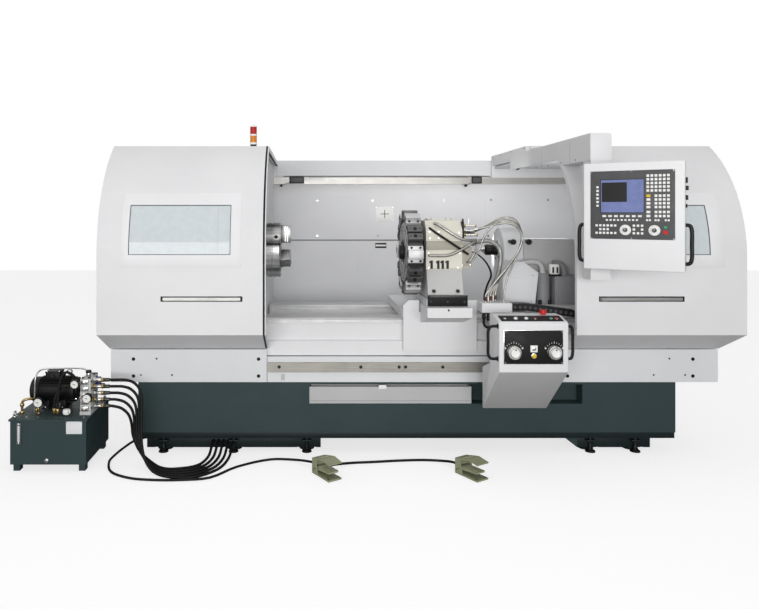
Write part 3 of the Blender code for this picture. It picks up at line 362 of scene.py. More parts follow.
# A darker steel for the split tool blocks: partly the steel's own tone, partly painted shade.
station_dark_shaded = finish("dark_shaded_ground_steel", cut_lines, (0.42, 0.42, 0.42), (0.30, 0.30, 0.30),
                      0.45, 0.60, 0.00002, 0.75)
dark_steel = finish("dark_steel", cut_lines, (0.33, 0.33, 0.33), (0.21, 0.21, 0.21),
                    0.34, 0.5, 0.00003, 1.0, Stretch=(300.0, 60.0, 60.0))
bright_steel = finish("bright_plated_steel", cut_lines, (0.82, 0.82, 0.81), (0.68, 0.68, 0.67),
                      0.2, 0.34, 0.00001, 1.0, Stretch=(200.0, 200.0, 20.0))
# Broad bright and dark bands run across the chuck from top to bottom: painted reflections.
chuck_steel = finish("chuck_steel_painted_reflections", cut_lines, (0.96, 0.96, 0.96), (0.20, 0.20, 0.21),
                     0.28, 0.40, 0.00001, 1.0, Stretch=(0.5, 0.5, 26.0))
blued_steel = finish("blued_steel", cut_lines, (0.13, 0.13, 0.135), (0.08, 0.08, 0.085),
                     0.28, 0.42, 0.00002, 0.7)
brass = finish("brass", cut_lines, (0.70, 0.61, 0.42), (0.54, 0.46, 0.30), 0.22, 0.36, 0.00001, 1.0,
               Stretch=(200.0, 200.0, 20.0))
black_plastic = finish("black_plastic", grained, (0.075, 0.075, 0.078), (0.10, 0.10, 0.10),
                       0.38, 0.52, 0.00004)
grey_plastic = finish("dark_grey_plastic", grained, (0.33, 0.33, 0.335), (0.30, 0.30, 0.305),
                      0.42, 0.55, 0.00004)
rubber = finish("black_rubber", grained, (0.03, 0.03, 0.03), (0.055, 0.055, 0.053), 0.5, 0.7, 0.00006)
red_plastic = finish("red_plastic", grained, (0.75, 0.10, 0.09), (0.70, 0.08, 0.07), 0.28, 0.40, 0.00002)
green_plastic = finish("green_plastic", grained, (0.20, 0.62, 0.42), (0.17, 0.57, 0.38),
                       0.28, 0.40, 0.00002)
yellow_plastic = finish("yellow_plastic", grained, (0.90, 0.74, 0.16), (0.86, 0.69, 0.13),
                        0.28, 0.40, 0.00002)
violet_plastic = finish("violet_plastic", grained, (0.24, 0.19, 0.48), (0.21, 0.16, 0.43),
                        0.35, 0.5, 0.00002)
white_plastic = finish("white_plastic", grained, (0.93, 0.93, 0.92), (0.90, 0.90, 0.89), 0.35, 0.5, 0.00002)
hose_steel = finish("braided_steel", grained, (0.72, 0.71, 0.69), (0.54, 0.53, 0.51),
                    0.34, 0.48, 0.0004, 0.7, Grain_scale=330.0)
hose_brown = finish("brown_sheath", grained, (0.36, 0.22, 0.16), (0.28, 0.16, 0.12), 0.45, 0.6, 0.0002,
                    Grain_scale=330.0)
conduit_grey = finish("grey_conduit", grained, (0.66, 0.66, 0.65), (0.52, 0.52, 0.51),
                      0.40, 0.52, 0.0003, 0.4, Grain_scale=260.0)


def clear(name, tone, rough, weight, alpha=1.0):
    """A glass or lens: a plain transmission weight, with a faint unevenness in its colour only."""
    material = finish(name, grained, tone, tuple(0.97 * c for c in tone), rough, rough + 0.02, 0.000002)
    shader = material.node_tree.nodes["Principled BSDF"]
    shader.inputs["Transmission Weight"].default_value = weight
    shader.inputs["Alpha"].default_value = alpha
    return material


def painted_edge_shade(material, dark, start):
    """Darken a round hose towards its edges as it turns away from the camera: painted shade."""
    tree = material.node_tree
    shader = tree.nodes["Principled BSDF"]
    old = shader.inputs["Base Color"].links[0].from_socket
    facing = add_node(tree, "ShaderNodeLayerWeight", (-500, 400), Blend=0.5)
    reach = add_node(tree, "ShaderNodeMapRange", (-300, 400), interpolation_type="SMOOTHSTEP")
    reach.inputs["From Min"].default_value, reach.inputs["From Max"].default_value = start, 0.95
    tree.links.new(facing.outputs["Facing"], reach.inputs["Value"])
    edge = add_node(tree, "ShaderNodeRGB", (-300, 600))
    edge.outputs[0].default_value = colour(*dark)
    tree.links.new(two_tone(tree, reach.outputs[0], old, edge.outputs[0], (-100, 300)),
                   shader.inputs["Base Color"])


painted_edge_shade(hose_steel, (0.05, 0.05, 0.05), 0.08)
painted_edge_shade(conduit_grey, (0.16, 0.16, 0.16), 0.45)
window_glass = clear("window_glass", (0.80, 0.83, 0.84), 0.06, 0.0)
amber_lens = clear("amber_lens", (0.88, 0.56, 0.18), 0.18, 0.15)
red_lens = clear("red_lens", (0.74, 0.16, 0.14), 0.18, 0.15)
dial_white = finish("dial_white", grained, (0.90, 0.90, 0.88), (0.88, 0.88, 0.86), 0.2, 0.3, 0.00001)
print(len(bpy.data.materials), "materials")

# %% [markdown]
# ## Which solid gets which finish
# A solid whose shape is right stays as it is, and only its material slots are filled. Curved solids keep
# the shading that they were packed with.

# %% Finishes for the solids
FINISHES = {
    white_paint: "saddle apron_cover saddle_front_cover junction_box control_box bed "
                 "left_door right_door panel_arm rear_panel",
    grey_paint: "front_rail_carrier rear_fascia headstock_housing right_end_hood front_skirt_left "
                "front_skirt_right operator_panel cross_slide",
    # The shaded grey on these parts is painted shade.
    shade_paint: "tailstock carriage_link cable_trough",
    cream_paint: "turret_body",
    green_paint: "base_stand power_unit_tank",
    olive_paint: "pedal_guard_1 pedal_guard_2 pedal_treadle_1 pedal_treadle_2",
    black_plastic: "energy_chain power_unit_motor",
    rubber: "left_door_seal floor_hose_1 floor_hose_2 floor_hose_3 floor_hose_4 floor_hose_5 "
            "pedal_cable_1 pedal_cable_2",
    ground_steel: "power_unit_valves turret_disc handwheel_x handwheel_z left_door_handle right_door_handle",
    station_steel: "guideway_front guideway_rear",
    rail_steel: "control_box_rail",
    zinc_plate: "door_rail",
    turned_steel: "chuck_body",
    dark_steel: "chuck_jaw_1 chuck_jaw_2 chuck_jaw_3 tailstock_quill",
    hose_steel: "turret_hose_1 turret_hose_2 turret_hose_3",
    window_glass: "left_door_window right_door_window",
    red_plastic: "emergency_stop beacon_lamp",
}
dressed = set()
for material, names in FINISHES.items():
    for name in names.split():
        mesh = nodes[name].data
        mesh.materials.clear()
        mesh.materials.append(material)
        dressed.add(name)
print("solids without a finish:", sorted(set(nodes) - dressed))

# %% [markdown]
# ## Helpers for the new pieces
# Every piece starts from one of Blender's own shapes in a bmesh and is then bevelled, inset or extruded.
# The helpers take their sizes in metres in the machine's frame, and a matrix where a piece stands askew.

# %% Helpers for solid shapes


def dress(bm, made, slot=0, edge=0.0, steps=2):
    """Give the faces on these vertices a material slot, and round their sharp edges."""
    faces = {f for v in made for f in v.link_faces}
    for face in faces:
        face.material_index = slot
        face.normal_update()
    if edge:
        sharp = [e for e in {e for f in faces for e in f.edges} if e.calc_face_angle(0.0) > 0.6]
        bmesh.ops.bevel(bm, geom=sharp, offset=edge, offset_type="OFFSET", segments=steps, profile=0.5,
                        affect="EDGES", clamp_overlap=True, material=-1)


def block(bm, x, y, z, slot=0, edge=0.0015, at=UNTURNED, steps=2):
    """A box between pairs of bounds with rounded edges."""
    middle = Vector(((x[0] + x[1]) / 2, (y[0] + y[1]) / 2, (z[0] + z[1]) / 2))
    shape = Matrix.Diagonal((x[1] - x[0], y[1] - y[0], z[1] - z[0], 1.0))
    made = bmesh.ops.create_cube(bm, size=1.0, matrix=at @ Matrix.Translation(middle) @ shape)["verts"]
    dress(bm, made, slot, edge, steps)


def along(axis, centre, mid):
    """The matrix that lays a shape's own Z along an axis of the machine, with its middle at mid."""
    if axis == "X":
        return Matrix.Translation((mid, *centre)) @ Matrix.Rotation(pi / 2, 4, "Y")
    if axis == "Y":
        return Matrix.Translation((centre[0], mid, centre[1])) @ Matrix.Rotation(-pi / 2, 4, "X")
    return Matrix.Translation((*centre, mid))


def round_about(axis, centre, angle):
    """The matrix that sets a piece at an angle round an axis of the machine through centre."""
    spot = {"X": (0.0, *centre), "Y": (centre[0], 0.0, centre[1]), "Z": (*centre, 0.0)}[axis]
    return Matrix.Translation(spot) @ Matrix.Rotation(angle, 4, axis)


def rod(bm, axis, centre, span, r, r2=None, sides=24, slot=0, edge=0.0, at=UNTURNED):
    """A rod or cone along an axis; r is its radius at the first end of span and r2 at the second."""
    place = at @ along(axis, centre, (span[0] + span[1]) / 2)
    made = bmesh.ops.create_cone(bm, cap_ends=True, segments=sides, radius1=r,
                                 radius2=r if r2 is None else r2, depth=span[1] - span[0],
                                 matrix=place)["verts"]
    dress(bm, made, slot, edge)


def turned(bm, axis, centre, profile, sides=32, slot=0, at=UNTURNED):
    """A profile of (distance along the axis, radius) spun once round the axis, as on a lathe."""
    place = at @ along(axis, centre, 0.0)
    verts = [bm.verts.new((r, 0.0, a)) for a, r in profile]
    edges = [bm.edges.new(pair) for pair in zip(verts, verts[1:])]
    old = set(bm.verts) - set(verts)
    bmesh.ops.spin(bm, geom=verts + edges, cent=(0, 0, 0), axis=(0, 0, 1), dvec=(0, 0, 0), angle=2 * pi,
                   steps=sides, use_merge=True)
    made = [v for v in bm.verts if v not in old]
    bmesh.ops.remove_doubles(bm, verts=made, dist=1e-6)
    made = [v for v in bm.verts if v not in old]
    bmesh.ops.transform(bm, matrix=place, verts=made)
    dress(bm, made, slot)


def plate(bm, outline, axis, span, slot=0, edge=0.0015, at=UNTURNED, steps=2):
    """An outline across an axis, extruded along it between the two ends of span."""
    spot = {"X": lambda p, a: (a, p[0], p[1]), "Y": lambda p, a: (p[0], a, p[1]),
            "Z": lambda p, a: (p[0], p[1], a)}[axis]
    face = bm.faces.new([bm.verts.new(spot(p, span[0])) for p in outline])
    lifted = bmesh.ops.extrude_face_region(bm, geom=[face])["geom"]
    top = [v for v in lifted if isinstance(v, bmesh.types.BMVert)]
    bmesh.ops.translate(bm, verts=top, vec=Vector(spot((0.0, 0.0), span[1] - span[0])))
    made = list(face.verts) + top
    bmesh.ops.recalc_face_normals(bm, faces=list({f for v in made for f in v.link_faces}))
    bmesh.ops.transform(bm, matrix=at, verts=made)
    dress(bm, made, slot, edge, steps)


def screw(bm, axis, centre, face, r, h, slot=0, dark=1, at=UNTURNED):
    """A cap screw that stands h out of a face towards the low end of the axis, with a sunk socket."""
    place = at @ along(axis, centre, face - h / 2) @ Matrix.Rotation(pi, 4, "X")
    made = bmesh.ops.create_cone(bm, cap_ends=True, segments=12, radius1=r, radius2=0.88 * r, depth=h,
                                 matrix=place)["verts"]
    dress(bm, made, slot)
    out = (place.to_3x3() @ Vector((0.0, 0.0, 1.0))).normalized()
    ends = {f for v in made for f in v.link_faces if len(f.verts) == 12}
    cap = max(ends, key=lambda f: f.calc_center_median() @ out)
    bmesh.ops.inset_region(bm, faces=[cap], thickness=0.42 * r, use_even_offset=True)
    sunk = bmesh.ops.extrude_discrete_faces(bm, faces=[cap])["faces"][0]
    bmesh.ops.translate(bm, verts=sunk.verts, vec=-0.6 * h * out)
    sunk.material_index = dark


# %% [markdown]
# ## Helpers for hoses and for handing a piece over
# A hose's route is a few points and a curve through them, which is filled at both ends. The last helper
# turns a bmesh into an object: it recalculates the normals, keeps edges sharper than 35 degrees crisp,
# carries the piece to the frame of the solids and names the body that it rides on.

# %% Helpers for routes and pieces


def smooth_route(route, per_span=6):
    """Straight first and last spans, and an even curve through the points between them."""
    knots = [Vector(p) for p in route]
    points = [knots[0]]
    for a, b, c, d in zip(knots, knots[1:], knots[2:], knots[3:]):
        lean_b = (c - a) * (c - b).length / ((b - a).length + (c - b).length)
        lean_c = (d - b) * (c - b).length / ((c - b).length + (d - c).length)
        for k in range(per_span):
            t = k / per_span
            points.append((2 * t ** 3 - 3 * t * t + 1) * b + (t ** 3 - 2 * t * t + t) * lean_b
                          + (3 * t * t - 2 * t ** 3) * c + (t ** 3 - t * t) * lean_c)
    return points + [knots[-2], knots[-1]]


def curve_of(name, points, r, sides=3):
    """A round curve object through the points, filled at both ends."""
    data = bpy.data.curves.new(name, "CURVE")
    data.dimensions, data.bevel_depth, data.bevel_resolution, data.use_fill_caps = "3D", r, sides, True
    spline = data.splines.new("POLY")
    spline.points.add(len(points) - 1)
    for point, p in zip(spline.points, points):
        point.co = (*p, 1.0)
    obj = bpy.data.objects.new(name, data)
    bpy.context.collection.objects.link(obj)
    return obj


def pipe(bm, route, r, slot=0, per_span=6, sides=3):
    """A tube along a route, added to a bmesh."""
    points = smooth_route(route, per_span) if len(route) > 2 else [Vector(p) for p in route]
    obj = curve_of("pipe", points, r, sides)
    bpy.context.view_layer.update()
    mesh = bpy.data.meshes.new_from_object(obj.evaluated_get(bpy.context.evaluated_depsgraph_get()))
    for polygon in mesh.polygons:
        polygon.material_index = slot
    bm.from_mesh(mesh)
    data = obj.data
    bpy.data.objects.remove(obj)
    bpy.data.curves.remove(data)
    bpy.data.meshes.remove(mesh)


def piece(name, bm, finishes, body, stands_for=(), flat=35):
    """Make the bmesh an object in the frame of the solids, which rides on a body when one is given."""
    bmesh.ops.recalc_face_normals(bm, faces=bm.faces)
    bmesh.ops.translate(bm, verts=bm.verts, vec=HOME)
    mesh = bpy.data.meshes.new(name)
    bm.to_mesh(mesh)
    bm.free()
    for material in finishes:
        mesh.materials.append(material)
    mesh.shade_smooth()
    mesh.set_sharp_from_angle(angle=radians(flat))
    obj = bpy.data.objects.new(name, mesh)
    bpy.context.collection.objects.link(obj)
    if body:
        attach(obj, body)
    if stands_for:
        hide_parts(*stands_for)
    print(f"{name}: {len(mesh.polygons)} faces on {body}")
    return obj


# %% [markdown]
# ## Hoses and cables on the floor
# Five black hoses leave the hydraulic unit's valves, drop to the floor in one loose bend and go into
# the foot of the base. A cable runs from the base to the first pedal and another on to the second.
# A curve with a round bevel is the plain way to make them: its points are the route and nothing else.

# %% Floor hoses


def free_cord(name, solid, route, dia):
    """A loose cord along a route, which stands for one of the solids."""
    points = [p + HOME for p in smooth_route(route, 4)]
    obj = curve_of(name, points, dia / 2)
    obj.data.materials.append(rubber)
    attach(obj, "machine")
    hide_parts(solid)


HOSE_DIA, CABLE_DIA = 0.018, 0.016
for i in range(5):
    a, k = 0.034 * (i - 2), 0.020 * (4 - i)
    z = 0.542 - 0.042 * i
    free_cord(f"oil_hose_{i + 1}", f"floor_hose_{i + 1}", [
        (-1.9897, 0.115, z), (-1.976 + k, 0.115, z), (-1.916 + k, 0.115 + 0.05 * a, z - 0.016),
        (-1.872 + k, 0.114 + 0.2 * a, z - 0.060), (-1.856 + k, 0.110 + 0.45 * a, z - 0.120),
        (-1.848 + k, 0.098 + 0.75 * a, 0.170), (-1.798 + 0.8 * k, 0.060 + a, 0.076),
        (-1.705 + 0.4 * k, 0.010 + a, 0.020),
        (-1.600 - 0.4 * a, -0.050 + a, 0.0095), (-1.480 - 0.9 * a, -0.060 + a, 0.0095),
        (-1.350 - a, 0.030 + 0.5 * a, 0.0095), (-1.296 - a, 0.155 + 0.2 * a, 0.026),
        (-1.285 - a, 0.270, 0.066), (-1.285 - a, 0.320, 0.072), (-1.285 - a, 0.3597, 0.072)], HOSE_DIA)

# %% Pedal cables
PEDAL_TURN = Matrix.Rotation(radians(-58), 4, "Z")
PEDALS = [Matrix.Translation((x, -0.004, 0.0)) @ PEDAL_TURN for x in (-0.648, 0.242)]


def at_pedal(i, x, y, z):
    """A point in a pedal's own axes, carried to the machine's frame."""
    return tuple(PEDALS[i] @ Vector((x, y, z)))


z = 0.0086
free_cord("foot_cable_1", "pedal_cable_1", [
    (-1.8073, 0.480, 0.050), (-1.835, 0.480, 0.050), (-1.905, 0.455, 0.040), (-1.962, 0.380, 0.018),
    (-1.995, 0.250, z), (-1.998, 0.131, z), (-1.935, -0.040, z), (-1.800, -0.135, z), (-1.652, -0.165, z),
    (-1.480, -0.165, z), (-1.312, -0.130, z), (-1.165, 0.043, z), (-0.960, 0.170, z),
    (-0.800, 0.150, 0.014), at_pedal(0, -0.060, 0.0, 0.036), at_pedal(0, -0.0003, 0.0, 0.036)], CABLE_DIA)
free_cord("foot_cable_2", "pedal_cable_2", [
    at_pedal(0, 0.030, 0.0478, 0.030), at_pedal(0, 0.030, 0.0975, 0.030),
    (-0.430, 0.110, z), (-0.300, 0.125, z), (-0.120, 0.150, z), (0.040, 0.160, z), (0.160, 0.130, 0.014),
    at_pedal(1, -0.060, 0.0, 0.036), at_pedal(1, -0.0003, 0.0, 0.036)], CABLE_DIA)

# %% [markdown]
# ## The turret disc and its tools
# The disc is the part that a lathe's buyer looks at first. It has twelve stations: every second one is a
# split block with two tool holes, and the ones between are blocks that four bolts hold on a base plate.
# One station is built with blocks, rods and screws, and a rotation matrix sets it round the disc, as an
# indexing table would on a milling machine.

# %% Turret disc
HUB = (0.360, 1.350)
DISC_R, DISC_X = 0.236, (-0.060, 0.028)
bm = bmesh.new()
rim = [(DISC_R * cos(pi / 6 * (i + 0.5)) / cos(pi / 12) + HUB[0],
        DISC_R * sin(pi / 6 * (i + 0.5)) / cos(pi / 12) + HUB[1]) for i in range(12)]
plate(bm, rim, "X", DISC_X, 0, 0.003)
turned(bm, "X", HUB, [(-0.060, 0.198), (-0.064, 0.196), (-0.064, 0.150), (-0.0615, 0.148), (-0.0615, 0.142),
                      (-0.066, 0.140), (-0.066, 0.088), (-0.060, 0.084)], 64, 1)
turned(bm, "X", HUB, [(-0.092, 0.0), (-0.092, 0.040), (-0.088, 0.047), (-0.066, 0.052), (-0.060, 0.052)],
       32, 2)
turned(bm, "X", HUB, [(0.020, 0.0), (0.020, 0.128), (0.038, 0.125), (0.050, 0.112), (0.0636, 0.100),
                      (0.0636, 0.0)], 40, 3)
for i in range(6):
    turn = round_about("X", HUB, pi / 3 * i + pi / 6)
    screw(bm, "X", (0.0, 0.070), -0.066, 0.007, 0.006, 2, 2, turn)
for i in range(12):
    turn = round_about("X", HUB, pi / 6 * i)
    for y in (-0.036, 0.036):
        screw(bm, "X", (y, 0.214), -0.060, 0.0065, 0.005, 2, 2, turn)
    rod(bm, "X", (0.0, 0.172), (-0.0650, -0.0635), 0.009, 0.009, 16, 2, 0.0, turn)
piece("turret_disc_body", bm, (dark_steel, turned_steel, black_plastic, dark_steel),
      "turret", ("turret_disc",))

# %% Tool stations


def bolt_out(bm, x, y, r, h, at, foot):
    """A socket bolt that stands outwards on a station."""
    rod(bm, "Z", (x, y), (foot - 0.001, foot + h), r, r, 16, 1, 0.0008, at)
    rod(bm, "Z", (x, y), (foot + h, foot + h + 0.0004), 0.55 * r, 0.55 * r, 6, 2, 0.0, at)


bm = bmesh.new()
for i in range(12):
    at = round_about("X", HUB, pi / 6 * i)
    low = DISC_R + 0.0005
    if i % 2:
        block(bm, (-0.071, 0.026), (-0.0555, 0.0555), (low, 0.2665), 0, 0.003, at)
        block(bm, (-0.0715, 0.0265), (-0.0300, 0.0300), (0.262, 0.2895), 0, 0.004, at)
        block(bm, (-0.0720, -0.069), (-0.0200, 0.0200), (0.247, 0.280), 1, 0.002, at)
        for x in (-0.049, 0.008):
            for y in (-0.0435, 0.0435):
                bolt_out(bm, x, y, 0.0075, 0.006, at, 0.2665)
    else:
        # The split blocks are in the darker steel, which is partly painted shade.
        block(bm, (-0.068, 0.026), (-0.0500, -0.0062), (low, 0.2835), 3, 0.003, at)
        block(bm, (-0.068, 0.026), (0.0062, 0.0500), (low, 0.2835), 3, 0.003, at)
        block(bm, (-0.060, 0.018), (-0.0064, 0.0064), (low, 0.262), 2, 0.001, at)
        for y in (-0.026, 0.026):
            rod(bm, "Z", (-0.022, y), (0.2830, 0.2838), 0.0125, 0.0125, 24, 1, 0.0, at)
            rod(bm, "Z", (-0.022, y), (0.2836, 0.2841), 0.0090, 0.0090, 24, 2, 0.0, at)
            rod(bm, "X", (y, 0.266), (-0.0690, -0.0675), 0.0085, 0.0085, 20, 2, 0.0, at)
        for x in (-0.052, 0.010):
            for y in (-0.028, 0.028):
                bolt_out(bm, x, y, 0.0045, 0.0005, at, 0.2835)
    # A black block in the gap after each station: painted shade between the stations.
    turn = at @ Matrix.Rotation(pi / 12, 4, "X")
    block(bm, (-0.0605, 0.0285), (-0.0060, 0.0060), (0.208, 0.2432), 2, 0.001, turn)
piece("turret_tools", bm, (station_steel, black_paint, black_plastic, station_dark_shaded), "turret")

# %% [markdown]
# ## The turret's housing
# Behind the disc sits a cast housing in cream paint: a cover plate with screws on its front, four dark
# slots with a short step at their tops, a grey foot on the cross slide and plugs for hoses and cables.
# The housing's solid has the right outline, so only its fittings are added.

# %% Turret housing
bm = bmesh.new()
front = 0.205
plate(bm, [(0.2055, 1.4400), (0.2055, 1.5005), (0.2365, 1.5375), (0.2330, 1.5405), (0.2010, 1.5015),
           (0.2010, 1.4400)], "X", (0.077, 0.156), 0, 0.0006)
block(bm, (0.166, 0.290), (front - 0.003, front + 0.001), (1.440, 1.495), 0, 0.0015)
block(bm, (0.0645, 0.3015), (front - 0.006, front + 0.001), (1.3735, 1.4320), 1, 0.002)
block(bm, (0.2915, 0.3655), (0.210, 0.216), (1.262, 1.410), 1, 0.002)
for x, z in ((0.086, 1.450), (0.145, 1.450), (0.086, 1.492), (0.145, 1.492), (0.175, 1.449), (0.281, 1.449),
             (0.281, 1.487), (0.080, 1.352), (0.286, 1.352), (0.080, 1.256), (0.272, 1.256)):
    screw(bm, "Y", (x, z), front - (0.004 if z > 1.4 else 0.0), 0.0055, 0.003, 2, 3)
for x, z in ((0.302, 1.274), (0.355, 1.274), (0.302, 1.398), (0.355, 1.398)):
    screw(bm, "Y", (x, z), 0.210, 0.0050, 0.003, 2, 3)
# The four slots, drawn as thin black plates on the face: painted shade in the openings.
for x in (0.100, 0.144, 0.173, 0.205):
    block(bm, (x - 0.0075, x + 0.0085), (front - 0.0015, front + 0.001), (1.2485, 1.304), 3, 0.0)
    block(bm, (x - 0.0150, x + 0.0085), (front - 0.0016, front + 0.001), (1.286, 1.299), 3, 0.0)
# The grey foot on the cross slide.
plate(bm, [(0.1485, 1.0590), (0.6215, 1.0590), (0.5915, 1.1005), (0.5560, 1.2398), (0.2155, 1.2398),
           (0.1585, 1.0905)], "X", (0.0685, 0.3005), 6, 0.002)
block(bm, (0.100, 0.266), (0.290, 0.500), (1.5655, 1.5735), 0, 0.003)
for x in (0.115, 0.251):
    for y in (0.305, 0.485):
        rod(bm, "Z", (x, y), (1.5725, 1.5775), 0.006, 0.005, 12, 3)
block(bm, (0.3015, 0.318), (0.222, 0.420), (1.446, 1.560), 3, 0.002)
# Hose plugs on the end plate, in three rows.
for k in range(4):
    y = 0.243 + 0.052 * k
    for z, stands, kind, last in ((1.470, 0.070, 5, 3), (1.500, 0.050, 2, 2), (1.530, 0.062, 5, 3)):
        if k > last:
            continue
        rod(bm, "X", (y, z), (0.3175, 0.332), 0.0125, 0.0125, 6, kind, 0.001)
        rod(bm, "X", (y, z), (0.3315, 0.3315 + stands), 0.0088, 0.0082, 16, 2)
        rod(bm, "X", (y, z), (0.331 + stands, 0.341 + stands), 0.0105, 0.0105, 6, kind, 0.0008)
block(bm, (0.306, 0.316), (0.226, 0.238), (1.5595, 1.578), 3, 0.001)
rod(bm, "Z", (0.352, 0.240), (1.530, 1.580), 0.0025, 0.0025, 10, 2)
# Two hoses and a cable across the front, and one hose low on the side.
for route, r, kind in (
        ([(0.120, 0.218, 1.548), (0.134, 0.205, 1.543), (0.165, 0.193, 1.524), (0.235, 0.188, 1.478),
          (0.300, 0.190, 1.443), (0.345, 0.205, 1.436), (0.402, 0.232, 1.436)], 0.0100, 4),
        ([(0.088, 0.216, 1.517), (0.096, 0.200, 1.509), (0.150, 0.188, 1.470), (0.240, 0.184, 1.410),
          (0.305, 0.188, 1.366), (0.333, 0.196, 1.349), (0.340, 0.2098, 1.345)], 0.0080, 3),
        ([(0.087, 0.2049, 1.337), (0.087, 0.192, 1.337), (0.120, 0.189, 1.336), (0.190, 0.187, 1.337),
          (0.235, 0.186, 1.348), (0.320, 0.190, 1.390), (0.372, 0.205, 1.418), (0.402, 0.232, 1.428)],
         0.0100, 4),
        ([(0.334, 0.2098, 1.292), (0.334, 0.195, 1.292), (0.352, 0.185, 1.306), (0.376, 0.188, 1.352),
          (0.394, 0.205, 1.398), (0.402, 0.232, 1.420)], 0.0060, 4)):
    pipe(bm, route, r, kind, 5, 3)
block(bm, (0.398, 0.412), (0.226, 0.250), (1.414, 1.442), 2, 0.002)
rod(bm, "X", (0.243, 1.428), (0.3655, 0.399), 0.0085, 0.0085, 16, 2)
block(bm, (0.078, 0.291), (0.1478, 0.160), (1.064, 1.0885), 6, 0.002)
for x in (0.106, 0.262):
    rod(bm, "Y", (x, 1.108), (0.146, 0.175), 0.011, 0.011, 16, 3, 0.001)
for z in (1.107, 1.088):
    rod(bm, "X", (0.215, z), (0.295, 0.3075), 0.0065, 0.0065, 12, 3, 0.001)
piece("turret_housing_fittings", bm,
      (cream_paint, beige_paint, bright_steel, black_plastic, hose_steel, brass, cast_paint), "cross_slide")

# %% Wiper and chip guards of the cross slide
bm = bmesh.new()
block(bm, (0.058, 0.316), (0.1125, 0.1185), (1.015, 1.086), 0, 0.002)
block(bm, (0.070, 0.304), (0.1095, 0.1130), (1.072, 1.082), 1, 0.001)
for x in (0.080, 0.187, 0.294):
    screw(bm, "Y", (x, 1.045), 0.1125, 0.006, 0.004, 2, 2)
piece("slide_wiper", bm, (rubber, dark_steel, dark_steel), "cross_slide")

# %% [markdown]
# ## The turret hoses
# Six braided hoses, a grey conduit and two thin cables rise from the junction box on the carriage, lean
# over and run into the turret housing's side. They join two slides that move apart, so they are one mesh
# that rides on no body. A tube swept along a smooth route gives each its shape, and the bundle
# looks natural because each hose has its own height and width in the loop.

# %% Turret hoses
bm = bmesh.new()
for half in range(5):
    i = half / 2
    s, t, y = 0.045 * i, 0.018 * i, 0.205 + 0.045 * i
    end_y, end_z = 0.270 + 0.055 * i, 1.504 - 0.012 * i
    route = [(0.455 + s, y, 1.0263), (0.455 + s, y, 1.075), (0.525 + 0.5 * s, y, 1.170),
             (0.590 + 0.4 * s, y, 1.250), (0.645 + 0.4 * s, y, 1.325), (0.685 + 0.3 * s, y, 1.400),
             (0.694 + 0.3 * s, y, 1.470), (0.655 + 0.3 * s, y, 1.530 + t),
             (0.585 + 0.2 * s, y + 0.010, 1.550 + t), (0.490, end_y - 0.015, end_z + 0.022 + 0.5 * t),
             (0.405, end_y, end_z + 0.003), (0.345, end_y, end_z), (0.3185, end_y, end_z)]
    pipe(bm, route, 0.0068, 0, 6, 3)
    pipe(bm, [(0.455 + s, y, 1.030), (0.455 + s, y, 1.064)], 0.0092, 1 if half % 2 else 2, sides=4)
    pipe(bm, [(0.392, end_y, end_z + 0.002), (0.418, end_y, end_z + 0.004)], 0.0090, 1, sides=4)
    rod(bm, "Z", (0.455 + s, y), (1.0255, 1.036), 0.0125, 0.0125, 6, 1, 0.001)
pipe(bm, [(0.366, 0.330, 1.392), (0.392, 0.330, 1.404), (0.465, 0.330, 1.427), (0.526, 0.330, 1.423),
          (0.578, 0.328, 1.380), (0.588, 0.322, 1.312), (0.566, 0.310, 1.197), (0.520, 0.300, 1.105),
          (0.500, 0.298, 1.060), (0.500, 0.298, 1.0262)], 0.0150, 3, 6, 4)
pipe(bm, [(0.366, 0.262, 1.290), (0.384, 0.262, 1.300), (0.420, 0.258, 1.360), (0.466, 0.252, 1.470),
          (0.530, 0.246, 1.545), (0.606, 0.238, 1.568), (0.676, 0.230, 1.532), (0.702, 0.226, 1.466),
          (0.690, 0.222, 1.390), (0.645, 0.216, 1.290), (0.600, 0.206, 1.190), (0.574, 0.198, 1.090),
          (0.574, 0.197, 1.0262)], 0.0062, 0, 6, 3)
for k in range(2):
    y = 0.318 + 0.018 * k
    pipe(bm, [(0.480, y, 1.0262), (0.480, y, 1.060), (0.500, y, 1.130), (0.520, y - 0.02, 1.200),
              (0.490, y - 0.03, 1.275), (0.440, y - 0.02, 1.330), (0.400, y - 0.01, 1.352),
              (0.366, y, 1.355)], 0.0042, 4, 6, 3)
hose_bundle = piece("turret_hose_bundle", bm, (hose_steel, bright_steel, hose_brown, conduit_grey, rubber),
                    None, ("turret_hose_1", "turret_hose_2", "turret_hose_3"), 60)
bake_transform(hose_bundle)

# %% [markdown]
# ## The control box
# The box rides on the front of the apron and carries the handwheels. It is bent from sheet, so its edges
# are round; its grips are bent tube, and its black panel carries dials, a switch and two lamps. The
# case is extruded from its side view and bevelled.

# %% Control box case
BOX = (0.410, 0.819)
BOX_FACE = -0.264
bm = bmesh.new()
side_view = [(-0.260, 0.677), (-0.260, 0.960), (-0.247, 0.975), (-0.147, 0.997), (-0.050, 0.997),
             (-0.050, 0.690), (0.117, 0.628), (0.117, 0.369), (0.100, 0.362)]
plate(bm, side_view, "X", BOX, 0, 0.007, steps=3)
block(bm, (0.436, 0.787), (-0.2615, -0.258), (0.726, 0.928), 2, 0.002)
block(bm, (0.439, 0.784), (BOX_FACE, -0.260), (0.729, 0.925), 1, 0.0015)
for x in (0.446, 0.777):
    for z in (0.736, 0.918):
        screw(bm, "Y", (x, z), BOX_FACE, 0.004, 0.0025, 2, 1)
tilt = Matrix.Translation((0.0, -0.197, 0.986)) @ Matrix.Rotation(atan2(0.022, 0.100), 4, "X")
block(bm, (0.430, 0.800), (-0.046, 0.044), (-0.002, 0.0018), 1, 0.001, tilt)
